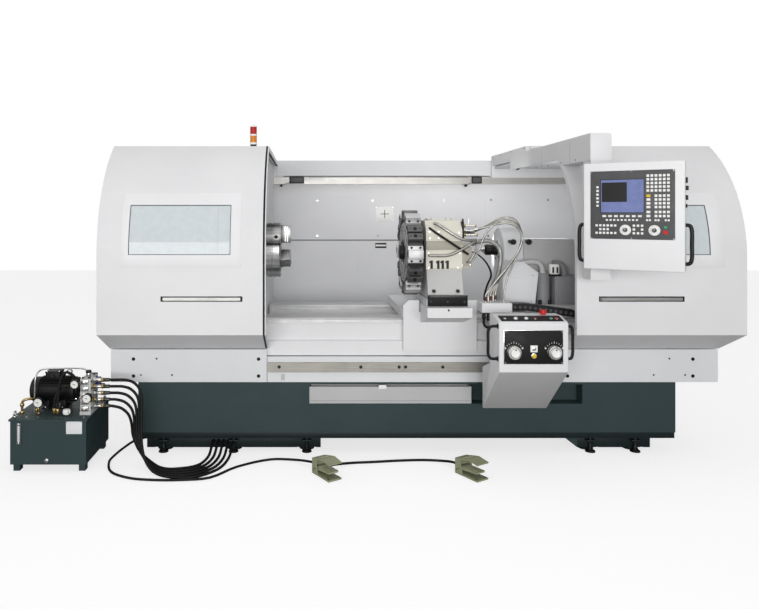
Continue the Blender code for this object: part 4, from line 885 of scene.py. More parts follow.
for x, y, r, h, slot in ((0.523, -0.010, 0.011, 0.008, 3), (0.586, -0.010, 0.010, 0.008, 3),
                         (0.640, -0.010, 0.006, 0.005, 4), (0.736, -0.008, 0.008, 0.006, 5),
                         (0.768, -0.008, 0.008, 0.006, 4), (0.460, -0.008, 0.007, 0.004, 2)):
    rod(bm, "Z", (x, y), (0.0015, 0.004), r + 0.003, r + 0.003, 24, 2, 0.0005, tilt)
    rod(bm, "Z", (x, y), (0.003, 0.003 + h), r, 0.9 * r, 24, slot, 0.001, tilt)
# The grips: bent tube between two round flanges.
for edge, sign, reach in ((BOX[0], -1, 0.058), (BOX[1], 1, 0.033)):
    y = -0.234
    pipe(bm, [(edge - 0.003 * sign, y, 0.753), (edge + 0.4 * reach * sign, y, 0.753),
              (edge + 0.78 * reach * sign, y, 0.758), (edge + reach * sign, y, 0.785),
              (edge + reach * sign, y, 0.850), (edge + reach * sign, y, 0.913),
              (edge + 0.78 * reach * sign, y, 0.941), (edge + 0.4 * reach * sign, y, 0.946),
              (edge - 0.003 * sign, y, 0.946)], 0.009, 1, 5, 4)
    for z in (0.753, 0.946):
        span = (edge - 0.001, edge + 0.004) if sign > 0 else (edge - 0.004, edge + 0.001)
        rod(bm, "X", (y, z), span, 0.015, 0.015, 24, 1, 0.001)
block(bm, (0.612, 0.664), (-0.0485, -0.0445), (0.700, 0.960), 0, 0.001)
paints = (white_paint, black_paint, bright_steel, white_plastic, red_plastic, green_plastic, shade_paint)
case = piece("control_box_case", bm, paints, "carriage", ("control_box",))
# The underside lies in shade in the photograph, so it gets the darker grey of the last slot.
for polygon in case.data.polygons:
    if polygon.material_index == 0 and polygon.normal.z < -0.3:
        polygon.material_index = 6

# %% Control box dials and keys
WHEELS, WHEEL_Z = {"handwheel_x": 0.495, "handwheel_z": 0.732}, 0.797
bm = bmesh.new()
block(bm, (0.592, 0.634), (BOX_FACE - 0.003, BOX_FACE), (0.798, 0.838), 0, 0.0015)
rod(bm, "Y", (0.613, 0.818), (BOX_FACE - 0.005, BOX_FACE - 0.002), 0.012, 0.012, 24, 2, 0.0005)
rod(bm, "Y", (0.613, 0.776), (BOX_FACE - 0.010, BOX_FACE - 0.001), 0.012, 0.012, 24, 3, 0.001)
rod(bm, "Y", (0.613, 0.776), (BOX_FACE - 0.003, BOX_FACE), 0.016, 0.016, 24, 2, 0.0005)
for cx in WHEELS.values():
    for k in range(9):
        turn = round_about("Y", (cx, WHEEL_Z), radians(-60 + 15 * k))
        block(bm, (-0.0010, 0.0010), (BOX_FACE - 0.0006, BOX_FACE), (0.052, 0.060 if k % 4 else 0.064),
              0, 0.0, turn)
    for sign in (-1, 1):
        turn = round_about("Y", (cx, WHEEL_Z), radians(66 * sign))
        plate(bm, [(-0.004, 0.052), (0.004, 0.052), (0.0, 0.064)], "Y", (BOX_FACE - 0.0006, BOX_FACE),
              0, 0.0, turn)
piece("control_box_marks", bm, (white_enamel, black_paint, bright_steel, yellow_plastic), "carriage")


def handwheel(name, x):
    """A handwheel: a grooved rim with dark marks round it, a white cap and one dark dot on the cap."""
    bm = bmesh.new()
    at = Matrix.Translation((x, BOX_FACE - 0.0003, WHEEL_Z))
    turned(bm, "Y", (0.0, 0.0), [(0.0, 0.0), (0.0, 0.041), (-0.004, 0.041), (-0.005, 0.0395),
                                 (-0.007, 0.0395), (-0.008, 0.041), (-0.022, 0.040), (-0.026, 0.036),
                                 (-0.026, 0.030), (-0.024, 0.028), (-0.024, 0.0)], 40, 0, at)
    turned(bm, "Y", (0.0, 0.0), [(-0.036, 0.0), (-0.040, 0.021), (-0.038, 0.025), (-0.024, 0.0262)],
           32, 1, at)
    for k in range(40):
        turn = at @ Matrix.Rotation(2 * pi * k / 40, 4, "Y")
        block(bm, (-0.0009, 0.0009), (-0.021, -0.009), (0.0398, 0.0410), 2, 0.0, turn)
        if k % 2 == 0:
            block(bm, (-0.0004, 0.0004), (-0.0262, -0.0255), (0.031, 0.035), 2, 0.0, turn)
    rod(bm, "Y", (0.0, 0.020), (-0.040, -0.036), 0.0045, 0.0045, 16, 2, 0.0005, at)
    piece(name + "_dial", bm, (bright_steel, white_enamel, black_paint), name.removeprefix("hand"), (name,))


for name, x in WHEELS.items():
    handwheel(name, x)

# %% [markdown]
# ## The operator's panel
# The panel hangs on a swivel under an overhead arm, 33 degrees round towards the operator. All its pieces
# are laid out flat in the panel's own axes and carried there by one matrix, which is the turn of the
# swivel: a designer would draw the keyboard flat as well.

# %% Operator panel case
SWIVEL = Matrix.Translation((1.036, -0.235, 0.0)) @ Matrix.Rotation(radians(-33.25), 4, "Z")
PANEL_LEFT, PANEL_WIDE = -0.081, 0.511
PANEL_RIGHT = PANEL_LEFT + PANEL_WIDE
BACK, FRONT = -0.066, -0.166
bm = bmesh.new()
block(bm, (PANEL_LEFT, PANEL_RIGHT), (FRONT, BACK), (1.295, 1.900), 0, 0.006, SWIVEL, 3)
rod(bm, "Z", (0.0, 0.0), (1.4703, 1.7297), 0.024, 0.024, 32, 0, 0.001, SWIVEL)
block(bm, (-0.016, 0.016), (BACK - 0.004, -0.002), (1.485, 1.715), 0, 0.002, SWIVEL)
block(bm, (PANEL_LEFT + 0.030, PANEL_RIGHT - 0.030), (BACK - 0.001, BACK + 0.003), (1.330, 1.865),
      0, 0.002, SWIVEL)
# Cooling slots, drawn as thin black strips that are painted shade in the openings, and cover screws on the
# back.
for k in range(10):
    block(bm, (0.120, 0.300), (BACK + 0.0025, BACK + 0.0035), (1.380 + 0.014 * k, 1.385 + 0.014 * k),
          1, 0.0, SWIVEL)
for x in (PANEL_LEFT + 0.045, PANEL_RIGHT - 0.045):
    for z in (1.345, 1.850):
        rod(bm, "Y", (x, z), (BACK + 0.002, BACK + 0.006), 0.006, 0.005, 12, 2, 0.0, SWIVEL)
# Switches on the right edge.
for z, high, out in ((1.795, 0.030, 0.010), (1.752, 0.024, 0.014), (1.700, 0.026, 0.012),
                     (1.655, 0.020, 0.008)):
    block(bm, (PANEL_RIGHT - 0.001, PANEL_RIGHT + out), (-0.128, -0.100), (z - high / 2, z + high / 2),
          1, 0.002, SWIVEL)
for edge, sign in ((PANEL_LEFT, -1), (PANEL_RIGHT, 1)):
    y, reach = BACK - 0.061, 0.030
    pipe(bm, [SWIVEL @ Vector(p) for p in (
        (edge - 0.003 * sign, y, 1.340), (edge + 0.4 * reach * sign, y, 1.340),
        (edge + 0.8 * reach * sign, y, 1.348), (edge + reach * sign, y, 1.375),
        (edge + reach * sign, y, 1.445), (edge + reach * sign, y, 1.515),
        (edge + 0.8 * reach * sign, y, 1.542), (edge + 0.4 * reach * sign, y, 1.550),
        (edge - 0.003 * sign, y, 1.550))], 0.0105, 1, 5, 4)
piece("operator_panel_case", bm, (frame_paint, black_plastic, dark_steel), "panel", ("operator_panel",))

# %% [markdown]
# ## Keys, dials and screen
# The keyboard is a dark plate with rows of pale keys. Rows are given as a start, a step and a count, so
# the layout reads as on a drawing. The screen is a thin pane that gives off a little light of its own.

# %% Screen glow
screen_blue = finish("screen_blue", grained, (0.42, 0.46, 0.64), (0.36, 0.40, 0.57),
                     0.3, 0.4, 0.000001, Grain_scale=120.0)
screen_black = finish("screen_black", grained, (0.01, 0.01, 0.015), (0.02, 0.02, 0.025),
                      0.35, 0.4, 0.000001)
SCREEN_GLOW = 0.25
for material, tone in ((screen_blue, (0.40, 0.44, 0.62)), (screen_black, (0.01, 0.01, 0.02))):
    shader = material.node_tree.nodes["Principled BSDF"]
    shader.inputs["Emission Color"].default_value = colour(*tone)
    shader.inputs["Emission Strength"].default_value = SCREEN_GLOW
print("screen glows at", SCREEN_GLOW)

# %% Keyboard
bm = bmesh.new()
block(bm, (-0.0435, 0.3837), (FRONT - 0.003, FRONT + 0.002), (1.4690, 1.8535), 0, 0.0015, SWIVEL)
face = FRONT - 0.003
block(bm, (0.0105, 0.2345), (face - 0.002, face), (1.6165, 1.8055), 1, 0.001, SWIVEL)
block(bm, (0.0135, 0.2315), (face - 0.0025, face), (1.6193, 1.8024), 2, 0.0, SWIVEL)
block(bm, (0.0172, 0.1472), (face - 0.0028, face), (1.6781, 1.7880), 3, 0.0, SWIVEL)


def keys(xs, zs, w, h, slot=4, tall=0.003):
    """A field of keys at every x and z given."""
    for x in xs:
        for z in zs:
            block(bm, (x - w / 2, x + w / 2), (face - tall, face), (z - h / 2, z + h / 2),
                  slot, 0.0006, SWIVEL, 1)


def row(start, step, count):
    """Evenly spaced places from a start."""
    return [start + step * k for k in range(count)]


keys([-0.0051], row(1.7629, -0.02104, 6), 0.013, 0.012)
keys(row(0.0303, 0.0303, 7), [1.5984], 0.019, 0.011)
keys(row(0.0440, 0.0192, 9), [1.5768], 0.011, 0.010)
keys(row(0.2518, 0.0200, 6), row(1.8215, -0.0205, 5), 0.0135, 0.0135)
keys(row(0.2918, 0.0200, 4), row(1.7106, -0.0206, 4), 0.0135, 0.0135)
keys([0.2547], row(1.7106, -0.0206, 4), 0.019, 0.0135)
keys(row(0.2918, 0.0200, 4), [1.6215, 1.5995], 0.0135, 0.0135)
keys([0.2547], [1.6215, 1.5995], 0.019, 0.0135)
keys([0.2480, 0.2620, 0.2900, 0.3040, 0.3390, 0.3530], [1.5768], 0.010, 0.011)
keys(row(-0.0099, 0.0194, 6), [1.5457, 1.5033], 0.0125, 0.0125)
keys(row(0.0095, 0.0194, 3), [1.5245], 0.0125, 0.0125)
keys(row(0.1826, 0.0205, 3), [1.5457, 1.5033], 0.0125, 0.0125)
keys([0.1826, 0.2236], [1.5245], 0.0125, 0.0125)
keys([0.3379], [1.5375], 0.015, 0.014, 5)
keys([0.3379], [1.5105], 0.024, 0.020, 6, 0.005)
keys([0.2547], [1.7106], 0.0195, 0.0138, 7, 0.0032)
for x, z in ((0.139, 1.5214), (0.2842, 1.5207)):
    rod(bm, "Y", (x, z), (face - 0.0015, face), 0.029, 0.029, 40, 4, 0.0005, SWIVEL)
    for k in range(13):
        turn = SWIVEL @ Matrix.Translation((x, 0.0, z)) @ Matrix.Rotation(radians(-135 + 22.5 * k), 4, "Y")
        block(bm, (-0.0006, 0.0006), (face - 0.0018, face - 0.0014), (0.0205, 0.0262), 0, 0.0, turn)
    turned(bm, "Y", (x, z), [(face - 0.016, 0.0), (face - 0.016, 0.0092), (face - 0.013, 0.0112),
                             (face - 0.0014, 0.0120)], 24, 0, SWIVEL)
    block(bm, (x - 0.0010, x + 0.0010), (face - 0.0165, face - 0.015), (z, z + 0.010), 4, 0.0, SWIVEL)
for x in (-0.038, 0.170, 0.378):
    for z in (1.4745, 1.8480):
        screw(bm, "Y", (x, z), face, 0.0032, 0.002, 8, 1, SWIVEL)
piece("operator_panel_keys", bm, (grey_plastic, black_plastic, screen_blue, screen_black, white_plastic,
                                  green_plastic, red_plastic, yellow_plastic, bright_steel), "panel")

# %% [markdown]
# ## The doors' windows and handles
# Each window sits in a raised frame that follows the door's curve. The frame is a flat grid with its
# middle taken out and some thickness, and it is bent afterwards on the door's own line, just as the real
# one is rolled to suit the door. The handles lie in troughs with a black lining: painted shade in the
# recess.

# %% Bent frames
ARC_R, ARC_Z = 0.894, 1.330


def door_y(z):
    """How far back the doors' curved front lies at height z."""
    return ARC_R - sqrt(ARC_R ** 2 - (z - ARC_Z) ** 2) if z > ARC_Z else 0.0


def bent_frame(bm, xs, zs, span, slot=0, edge=0.0):
    """A flat frame with bounds (outer, inner, inner, outer) that is bent on the door's curve."""
    heights = [zs[0]] + [zs[1] + (zs[2] - zs[1]) * k / 8 for k in range(9)]
    heights += [zs[2] + (zs[3] - zs[2]) * k / 3 for k in (1, 2, 3)]
    made = bmesh.ops.create_grid(bm, x_segments=3, y_segments=len(heights) - 1, size=1.0)["verts"]
    for v in made:
        column, line = round((v.co.x + 1) * 1.5), round((v.co.y + 1) / 2 * (len(heights) - 1))
        v.co = (xs[column], span[0], heights[line])
    faces = {f for v in made for f in v.link_faces}
    hole = [f for f in faces if xs[1] < f.calc_center_median().x < xs[2]
            and zs[1] < f.calc_center_median().z < zs[2]]
    bmesh.ops.delete(bm, geom=hole, context="FACES")
    faces = [f for f in faces if f.is_valid]
    made = list({v for f in faces for v in f.verts})
    pulled = bmesh.ops.extrude_face_region(bm, geom=faces)["geom"]
    lifted = [v for v in pulled if isinstance(v, bmesh.types.BMVert)]
    bmesh.ops.translate(bm, verts=lifted, vec=(0.0, span[1] - span[0], 0.0))
    made += lifted
    shell = {f for v in made for f in v.link_faces}
    bmesh.ops.recalc_face_normals(bm, faces=list(shell))
    before = set(bm.verts) - set(made)
    dress(bm, made, slot, edge)
    for v in bm.verts:
        if v not in before:
            v.co.y += door_y(v.co.z)


# %% Door trims
for side, wx, hx, line in (("left", (-1.888, -1.841, -1.200, -1.136), (-1.631, -1.131), -1.2818),
                           ("right", (1.106, 1.170, 1.811, 1.898), (1.118, 1.641), 1.262)):
    bm = bmesh.new()
    bent_frame(bm, wx, (1.278, 1.353, 1.667, 1.745), (-0.0035, 0.0015), 0, 0.0015)
    bent_frame(bm, (wx[1], wx[1] + 0.004, wx[2] - 0.004, wx[2]), (1.353, 1.357, 1.6625, 1.667),
               (-0.0005, 0.003), 1)
    bent_frame(bm, (line, line + 0.0008, line + 0.0012, line + 0.002), (1.358, 1.400, 1.600, 1.662),
               (0.0015, 0.0025), 3)
    # The black lining of each handle's trough: painted shade in the recess.
    block(bm, (hx[0] - 0.0066, hx[1] + 0.0066), (0.0185, 0.0198), (1.0604, 1.0926), 2, 0.0)
    for z in (1.0603, 1.0912):
        block(bm, (hx[0] - 0.0066, hx[1] + 0.0066), (0.0005, 0.019), (z, z + 0.0015), 2, 0.0)
    for x in (hx[0] - 0.0067, hx[1] + 0.0052):
        block(bm, (x, x + 0.0015), (0.0005, 0.019), (1.0604, 1.0926), 2, 0.0)
    piece(f"{side}_door_trim", bm, (frame_paint, grey_plastic, black_plastic, shade_paint), f"door_{side}")

# %% [markdown]
# ## The left door's seal and the stack light
# The seal's solid has the right shape, so it is copied, once in rubber and once a little to the right and
# further back in paint: that is the pale edge of the sheet behind the rubber. The stack light on the door
# is spun ring by ring, with ribbed lenses.

# %% Door seal
bm = bmesh.new()
seal = nodes["left_door_seal"]
for shift, slot in ((Vector((0.0, 0.0, 0.0)), 0), (Vector((0.0065, 0.004, 0.0)), 1)):
    before = set(bm.verts)
    bm.from_mesh(seal.data)
    added = [v for v in bm.verts if v not in before]
    bmesh.ops.transform(bm, matrix=Matrix.Translation(shift - HOME) @ seal.matrix_world, verts=added)
    for face in {f for v in added for f in v.link_faces}:
        face.material_index = slot
piece("door_seal_strip", bm, (rubber, frame_paint), "door_left", ("left_door_seal",))

# %% Beacon
bm = bmesh.new()
lamp_at, z = (-1.101, 0.600), 2.0755
turned(bm, "Z", lamp_at, [(z, 0.0), (z, 0.026), (z + 0.010, 0.026), (z + 0.014, 0.0225),
                          (z + 0.030, 0.0225), (z + 0.030, 0.0)], 40, 0)
for low, high, r, slot in ((0.0302, 0.044, 0.0255, 1), (0.0442, 0.092, 0.024, 2),
                           (0.0922, 0.104, 0.0258, 1), (0.1042, 0.156, 0.024, 3)):
    turned(bm, "Z", lamp_at, [(z + low, 0.0), (z + low, r), (z + high, r), (z + high, 0.0)], 40, slot)
turned(bm, "Z", lamp_at, [(z + 0.1562, 0.0), (z + 0.1562, 0.0255), (z + 0.163, 0.0235), (z + 0.1675, 0.012),
                          (z + 0.1677, 0.0)], 40, 1)
LENS_RIB = ((0.3, 0.0236), (0.5, 0.0252), (0.7, 0.0236))
for k in range(4):
    for low, high in ((0.048, 0.088), (0.108, 0.152)):
        rib = [(z + low + (high - low) * (k + part) / 4, r) for part, r in LENS_RIB]
        turned(bm, "Z", lamp_at, rib, 40, 2 if low < 0.1 else 3)
piece("beacon_stack", bm, (black_plastic, white_plastic, amber_lens, red_lens),
      "door_left", ("beacon_lamp",))

# %% [markdown]
# ## The chuck
# The chuck's body is a plain turned part, so it is spun from its profile. Three guides cut the face, keys
# go into square sockets in the rim, and each jaw is a stout block with two screws.

# %% Chuck body
AXIS = (0.750, 1.345)
bm = bmesh.new()
turned(bm, "X", AXIS, [(-1.0127, 0.0), (-1.0127, 0.190), (-1.0087, 0.198), (-0.972, 0.1995),
                       (-0.970, 0.1945), (-0.964, 0.1945), (-0.962, 0.1995), (-0.916, 0.1995),
                       (-0.9075, 0.1915), (-0.9075, 0.060), (-0.911, 0.056), (-0.985, 0.052),
                       (-0.985, 0.0)], 96, 0)
for k in range(3):
    at = round_about("X", AXIS, 2 * pi / 3 * k)
    block(bm, (-0.9085, -0.9073), (-0.033, 0.033), (0.062, 0.193), 1, 0.0, at)
    for y in (-0.024, 0.024):
        block(bm, (-0.9075, -0.9071), (y - 0.002, y + 0.002), (0.064, 0.190), 2, 0.0, at)
    at = at @ Matrix.Rotation(pi / 3, 4, "X")
    rod(bm, "Z", (-0.938, 0.0), (0.1985, 0.2000), 0.024, 0.024, 28, 3, 0.0, at)
    rod(bm, "Z", (-0.938, 0.0), (0.1996, 0.2004), 0.0170, 0.0170, 4, 4, 0.0, at)
    rod(bm, "X", (0.0, 0.150), (-0.9076, -0.9070), 0.011, 0.011, 20, 2, 0.0, at)
    for y in (-0.062, 0.062):
        rod(bm, "X", (y, 0.128), (-0.9076, -0.9070), 0.0075, 0.0075, 16, 2, 0.0, at)
piece("chuck_turned_body", bm, (chuck_steel, ground_steel, dark_steel, bright_steel, black_plastic),
      "chuck", ("chuck_body",))

# %% Chuck jaws
for k in range(3):
    bm = bmesh.new()
    at = round_about("X", AXIS, 2 * pi / 3 * k)
    plate(bm, [(-0.9065, 0.052), (-0.9065, 0.184), (-0.8865, 0.184), (-0.8855, 0.176), (-0.836, 0.176),
               (-0.836, 0.052)], "Y", (-0.0315, 0.0315), 0, 0.003, at)
    for r in (0.085, 0.140):
        rod(bm, "X", (0.0, r), (-0.8362, -0.8352), 0.0125, 0.0125, 24, 1, 0.0, at)
        rod(bm, "X", (0.0, r), (-0.8356, -0.8350), 0.0065, 0.0065, 6, 2, 0.0, at)
    for y in (-0.0318, 0.0318):
        for x in (-0.878, -0.862):
            block(bm, (x, x + 0.003), (y - 0.0003, y + 0.0003), (0.060, 0.170), 1, 0.0, at)
    piece(f"chuck_jaw_block_{k + 1}", bm, (turned_steel, bright_steel, dark_steel),
          f"jaw_{k + 1}", (f"chuck_jaw_{k + 1}",))

# %% [markdown]
# ## The rear guard's fittings
# Behind the bed stands a sheet guard. It carries cap screws, two limit switches, a lamp rail and a cover
# plate with a plain cross, and a black gasket runs in its left joint.

# %% Rear guard fittings
bm = bmesh.new()
wall = 1.950
for x, z in ((-0.619, 1.729), (-0.113, 1.729), (-0.064, 1.406), (0.544, 1.729), (0.975, 1.735),
             (1.4985, 1.735), (-0.619, 1.406), (0.544, 1.406), (0.9496, 1.406), (0.9992, 1.406)):
    screw(bm, "Y", (x, z), wall, 0.009, 0.005, 1, 2)
block(bm, (-0.860, 0.140), (1.9485, 1.9555), (1.3635, 1.3715), 2, 0.0)
block(bm, (-0.930, 0.960), (1.9432, 1.9497), (1.9505, 1.9565), 2, 0.001)
block(bm, (-0.088, 0.015), (1.9480, 1.9500), (1.295, 1.341), 2, 0.001)
block(bm, (-0.085, 0.012), (1.9472, 1.9482), (1.310, 1.326), 3, 0.0005)
block(bm, (-0.083, 0.081), (1.9470, 1.9500), (1.542, 1.673), 3, 0.002)
block(bm, (-0.040, 0.038), (1.9462, 1.9472), (1.6045, 1.6105), 2, 0.0)
block(bm, (-0.004, 0.002), (1.9462, 1.9472), (1.570, 1.645), 2, 0.0)
for x in (-0.076, 0.074):
    for z in (1.549, 1.666):
        screw(bm, "Y", (x, z), 1.947, 0.004, 0.002, 1, 2)
# The two limit switches with their roller arms.
for x0, x1, reach in ((-0.874, -0.741, -0.947), (0.786, 0.876, 0.730)):
    inner = min((x0, x1), key=lambda v: abs(v - reach))
    block(bm, (x0, x1), (1.890, 1.9075), (1.884, 1.946), 2, 0.004)
    block(bm, (x0 + 0.01, x1 - 0.01), (1.886, 1.891), (1.892, 1.938), 4, 0.002)
    pipe(bm, [(inner, 1.895, 1.895), (0.5 * (inner + reach), 1.895, 1.880), (reach, 1.895, 1.866)],
         0.004, 5, 4)
    turned(bm, "Y", (reach, 1.866), [(1.886, 0.0), (1.886, 0.013), (1.902, 0.013), (1.902, 0.0)], 20, 2)
# The lamp rail.
block(bm, (-0.743, -0.553), (1.9020, 1.9075), (1.924, 1.9375), 3, 0.002)
block(bm, (-0.700, 0.760), (1.9030, 1.9075), (1.9385, 1.9435), 5, 0.001)
piece("rear_guard_fittings", bm, (grey_paint, bright_steel, black_plastic, white_enamel, grey_plastic,
                                  ground_steel), "machine")

# %% [markdown]
# ## The tailstock
# The tailstock is a casting with a rounded head round the quill, a squared barrel behind it and sheet
# covers in front. Each part is extruded from its own outline, since the castings meet at plain faces.

# %% Tailstock casting
# The head and its front covers are light grey. The base and the barrel take the shaded grey, and the
# cylinder and the box behind it the deeper grey: painted shade.
bm = bmesh.new()
block(bm, (0.760, 1.230), (0.342, 1.158), (0.9056, 0.985), 1, 0.004)
head = [(AXIS[0] + 0.160 * cos(pi * k / 24), AXIS[1] + 0.160 * sin(pi * k / 24)) for k in range(25)]
plate(bm, [(0.590, 0.975), (0.910, 0.975), (0.925, 1.180)] + head + [(0.575, 1.180)], "X", (0.690, 0.8305),
      0, 0.006)
plate(bm, [(0.560, 0.975), (0.940, 0.975), (0.940, 1.404), (0.920, 1.424), (0.580, 1.424), (0.560, 1.404)],
      "X", (0.825, 1.2345), 1, 0.005)
plate(bm, [(0.628, 0.984), (0.628, 1.169), (0.700, 1.281), (0.770, 1.281), (0.874, 1.206), (0.850, 0.984)],
      "Y", (0.405, 0.600), 0, 0.003)
block(bm, (0.640, 0.838), (0.4035, 0.4055), (0.998, 1.160), 0, 0.0015)
turned(bm, "Z", (0.925, 0.470), [(0.984, 0.0), (0.984, 0.046), (1.190, 0.046), (1.196, 0.042),
                                 (1.198, 0.034), (1.198, 0.0)], 40, 2)
block(bm, (0.985, 1.190), (0.400, 0.570), (0.984, 1.179), 2, 0.004)
block(bm, (1.000, 1.176), (0.3985, 0.4005), (1.000, 1.165), 2, 0.0015)
for x in (0.735, 0.845):
    turned(bm, "Y", (x, 1.412), [(0.505, 0.0), (0.505, 0.014), (0.512, 0.0195), (0.530, 0.0195),
                                 (0.534, 0.012), (0.640, 0.012)], 24, 3)
rod(bm, "X", AXIS, (0.6835, 0.6905), 0.078, 0.086, 48, 0, 0.001)
for k in range(6):
    turn = round_about("X", AXIS, pi / 3 * k + 0.3)
    screw(bm, "X", (0.0, 0.066), 0.6835, 0.006, 0.004, 3, 3, turn)
for x, z in ((0.650, 1.010), (0.650, 1.150), (0.825, 1.010), (0.832, 1.185)):
    screw(bm, "Y", (x, z), 0.4035, 0.0045, 0.0025, 4, 3)
for x, y in ((0.893, 0.432), (0.957, 0.432)):
    rod(bm, "Z", (x, y), (0.985, 1.016), 0.013, 0.011, 12, 3, 0.001)
piece("tailstock_casting", bm, (grey_paint, shade_paint, deep_paint, black_plastic, bright_steel),
      "tailstock", ("tailstock",))

# %% Tailstock pipes
# The pipes take the shaded grey and the deeper grey: painted shade, as on the casting.
bm = bmesh.new()
pipe(bm, [(0.790, 0.505, 1.266), (0.850, 0.500, 1.272), (0.890, 0.495, 1.270), (0.914, 0.485, 1.254),
          (0.923, 0.476, 1.226), (0.925, 0.472, 1.190)], 0.017, 0, 6, 4)
rod(bm, "Z", (0.925, 0.471), (1.196, 1.205), 0.022, 0.022, 24, 0, 0.002)
pipe(bm, [(1.010, 0.520, 1.258), (1.040, 0.515, 1.258), (1.068, 0.505, 1.246), (1.082, 0.495, 1.218),
          (1.084, 0.490, 1.170)], 0.024, 1, 6, 4)
block(bm, (0.962, 1.028), (0.425, 0.470), (1.190, 1.262), 2, 0.012, UNTURNED, 4)
for x in (0.975, 1.004):
    block(bm, (x, x + 0.012), (0.423, 0.427), (1.202, 1.242), 3, 0.001)
block(bm, (0.955, 1.035), (0.420, 0.475), (1.179, 1.191), 3, 0.003)
piece("tailstock_pipes", bm, (shade_paint, deep_paint, white_plastic, black_plastic), "tailstock")

# %% Live centre
bm = bmesh.new()
turned(bm, "X", AXIS, [(0.556, 0.0), (0.556, 0.003), (0.591, 0.024), (0.593, 0.030), (0.600, 0.0390),
                       (0.606, 0.0398), (0.640, 0.0398), (0.644, 0.0360), (0.650, 0.0360), (0.654, 0.0398),
                       (0.680, 0.0398), (0.684, 0.0445), (1.099, 0.0445), (1.099, 0.0)], 48, 0)
turned(bm, "X", AXIS, [(0.5555, 0.0), (0.5555, 0.0032), (0.590, 0.0244), (0.5905, 0.0)], 40, 1)
for k in range(6):
    turn = round_about("X", AXIS, pi / 3 * k)
    block(bm, (0.608, 0.636), (-0.0035, 0.0035), (0.0385, 0.0400), 2, 0.0, turn)
piece("live_centre", bm, (blued_steel, bright_steel, dark_steel), "quill", ("tailstock_quill",))

# %% [markdown]
# ## The energy chain and the junction box
# The chain that feeds the carriage is a row of equal links, so one link is made again and again along
# its line. Under the junction box hang the plugs of the cables.

# %% Energy chain
bm = bmesh.new()
pitch, turn_at, slope = 0.0336, 0.735, atan2(0.047, 0.330)
for k in range(13):
    x = 0.6200 + pitch * (k + 0.5)
    drop = max(0.0, x - turn_at) * tan(slope)
    spot = Matrix.Translation((x, 0.2525, 0.9945 - drop))
    if drop:
        spot = spot @ Matrix.Rotation(slope, 4, "Y")
    block(bm, (-0.0155, 0.0155), (-0.036, 0.036), (-0.0215, 0.0215), 0, 0.004, spot)
    for y in (-0.0368, 0.0345):
        block(bm, (-0.0160, 0.0160), (y, y + 0.0023), (-0.0225, 0.0225), 0, 0.0, spot)
        rod(bm, "Y", (0.0155, 0.0), (y - 0.0004, y + 0.0026), 0.010, 0.010, 20, 1, 0.0, spot)
piece("energy_chain_links", bm, (black_plastic, grey_plastic), "carriage", ("energy_chain",))

# %% Junction box fittings
bm = bmesh.new()
block(bm, (0.4226, 0.6190), (0.1685, 0.3310), (1.0140, 1.0268), 0, 0.0015)
block(bm, (0.4240, 0.6180), (0.1712, 0.330), (1.0110, 1.0142), 1, 0.0)
block(bm, (0.4300, 0.6120), (0.1950, 0.3200), (0.9555, 0.9652), 1, 0.002)
for x, r, low in ((0.452, 0.013, 0.915), (0.485, 0.016, 0.905), (0.523, 0.011, 0.925),
                  (0.556, 0.013, 0.918)):
    rod(bm, "Z", (x, 0.235), (low, 0.957), r, 0.85 * r, 20, 1, 0.001)
    rod(bm, "Z", (x, 0.235), (low + 0.012, low + 0.020), r + 0.003, r + 0.003, 6, 2, 0.001)
pipe(bm, [(0.452, 0.235, 0.920), (0.450, 0.232, 0.890), (0.462, 0.225, 0.865), (0.488, 0.220, 0.862),
          (0.500, 0.215, 0.880), (0.500, 0.215, 0.905)], 0.0085, 1, 6, 3)
pipe(bm, [(0.600, 0.222, 0.960), (0.640, 0.218, 0.958), (0.700, 0.214, 0.957), (0.800, 0.206, 0.950),
          (0.900, 0.206, 0.944)], 0.0045, 3, 6, 3)
rod(bm, "Y", (0.180, 0.998), (0.0492, 0.0504), 0.0065, 0.0065, 16, 1, 0.0)
piece("junction_box_fittings", bm, (white_paint, black_plastic, dark_steel, bright_steel), "carriage")

# %% [markdown]
# ## Bolts and clips on the sheet metal
# The skirts and the rail carrier are held by black cap screws. Their places were read off the photograph
# one by one, since no two rows have the same step.

# %% Sheet metal bolts
bm = bmesh.new()
for x, z, r in ((-1.884, 0.635, 0.009), (-1.884, 0.521, 0.009), (-1.044, 0.635, 0.009),
                (-1.044, 0.521, 0.009), (1.873, 0.635, 0.009), (1.873, 0.521, 0.009), (1.031, 0.521, 0.009),
                (-1.729, 0.638, 0.0045), (-1.834, 0.528, 0.0045), (-1.625, 0.528, 0.0045),
                (1.715, 0.638, 0.0045), (1.821, 0.528, 0.0045), (1.610, 0.528, 0.0045)):
    rod(bm, "Y", (x, z), (0.2990, 0.3002), 1.3 * r, 1.3 * r, 24, 0)
    screw(bm, "Y", (x, z), 0.2992, r, 0.5 * r, 0, 0)
for x in (-0.905, -0.358, -0.101, -0.058, 0.191):
    rod(bm, "Y", (x, 0.584), (0.2885, 0.2895), 0.0115, 0.0115, 24, 1)
    rod(bm, "Y", (x, 0.584), (0.2870, 0.2890), 0.0085, 0.0080, 16, 0)
for x in (-0.880, 0.880):
    block(bm, (x - 0.012, x + 0.012), (0.2960, 0.3002), (0.495, 0.535), 2, 0.001)
block(bm, (-0.236, -0.185), (0.3035, 0.3065), (0.432, 0.459), 3, 0.001)
block(bm, (-0.690, 0.374), (0.3050, 0.3062), (0.4405, 0.4435), 2, 0.0)
block(bm, (-0.692, 0.376), (0.3052, 0.3063), (0.3520, 0.3545), 4, 0.0)
piece("sheet_metal_bolts", bm, (black_paint, dark_steel, shade_paint, white_enamel, deep_paint), "machine")

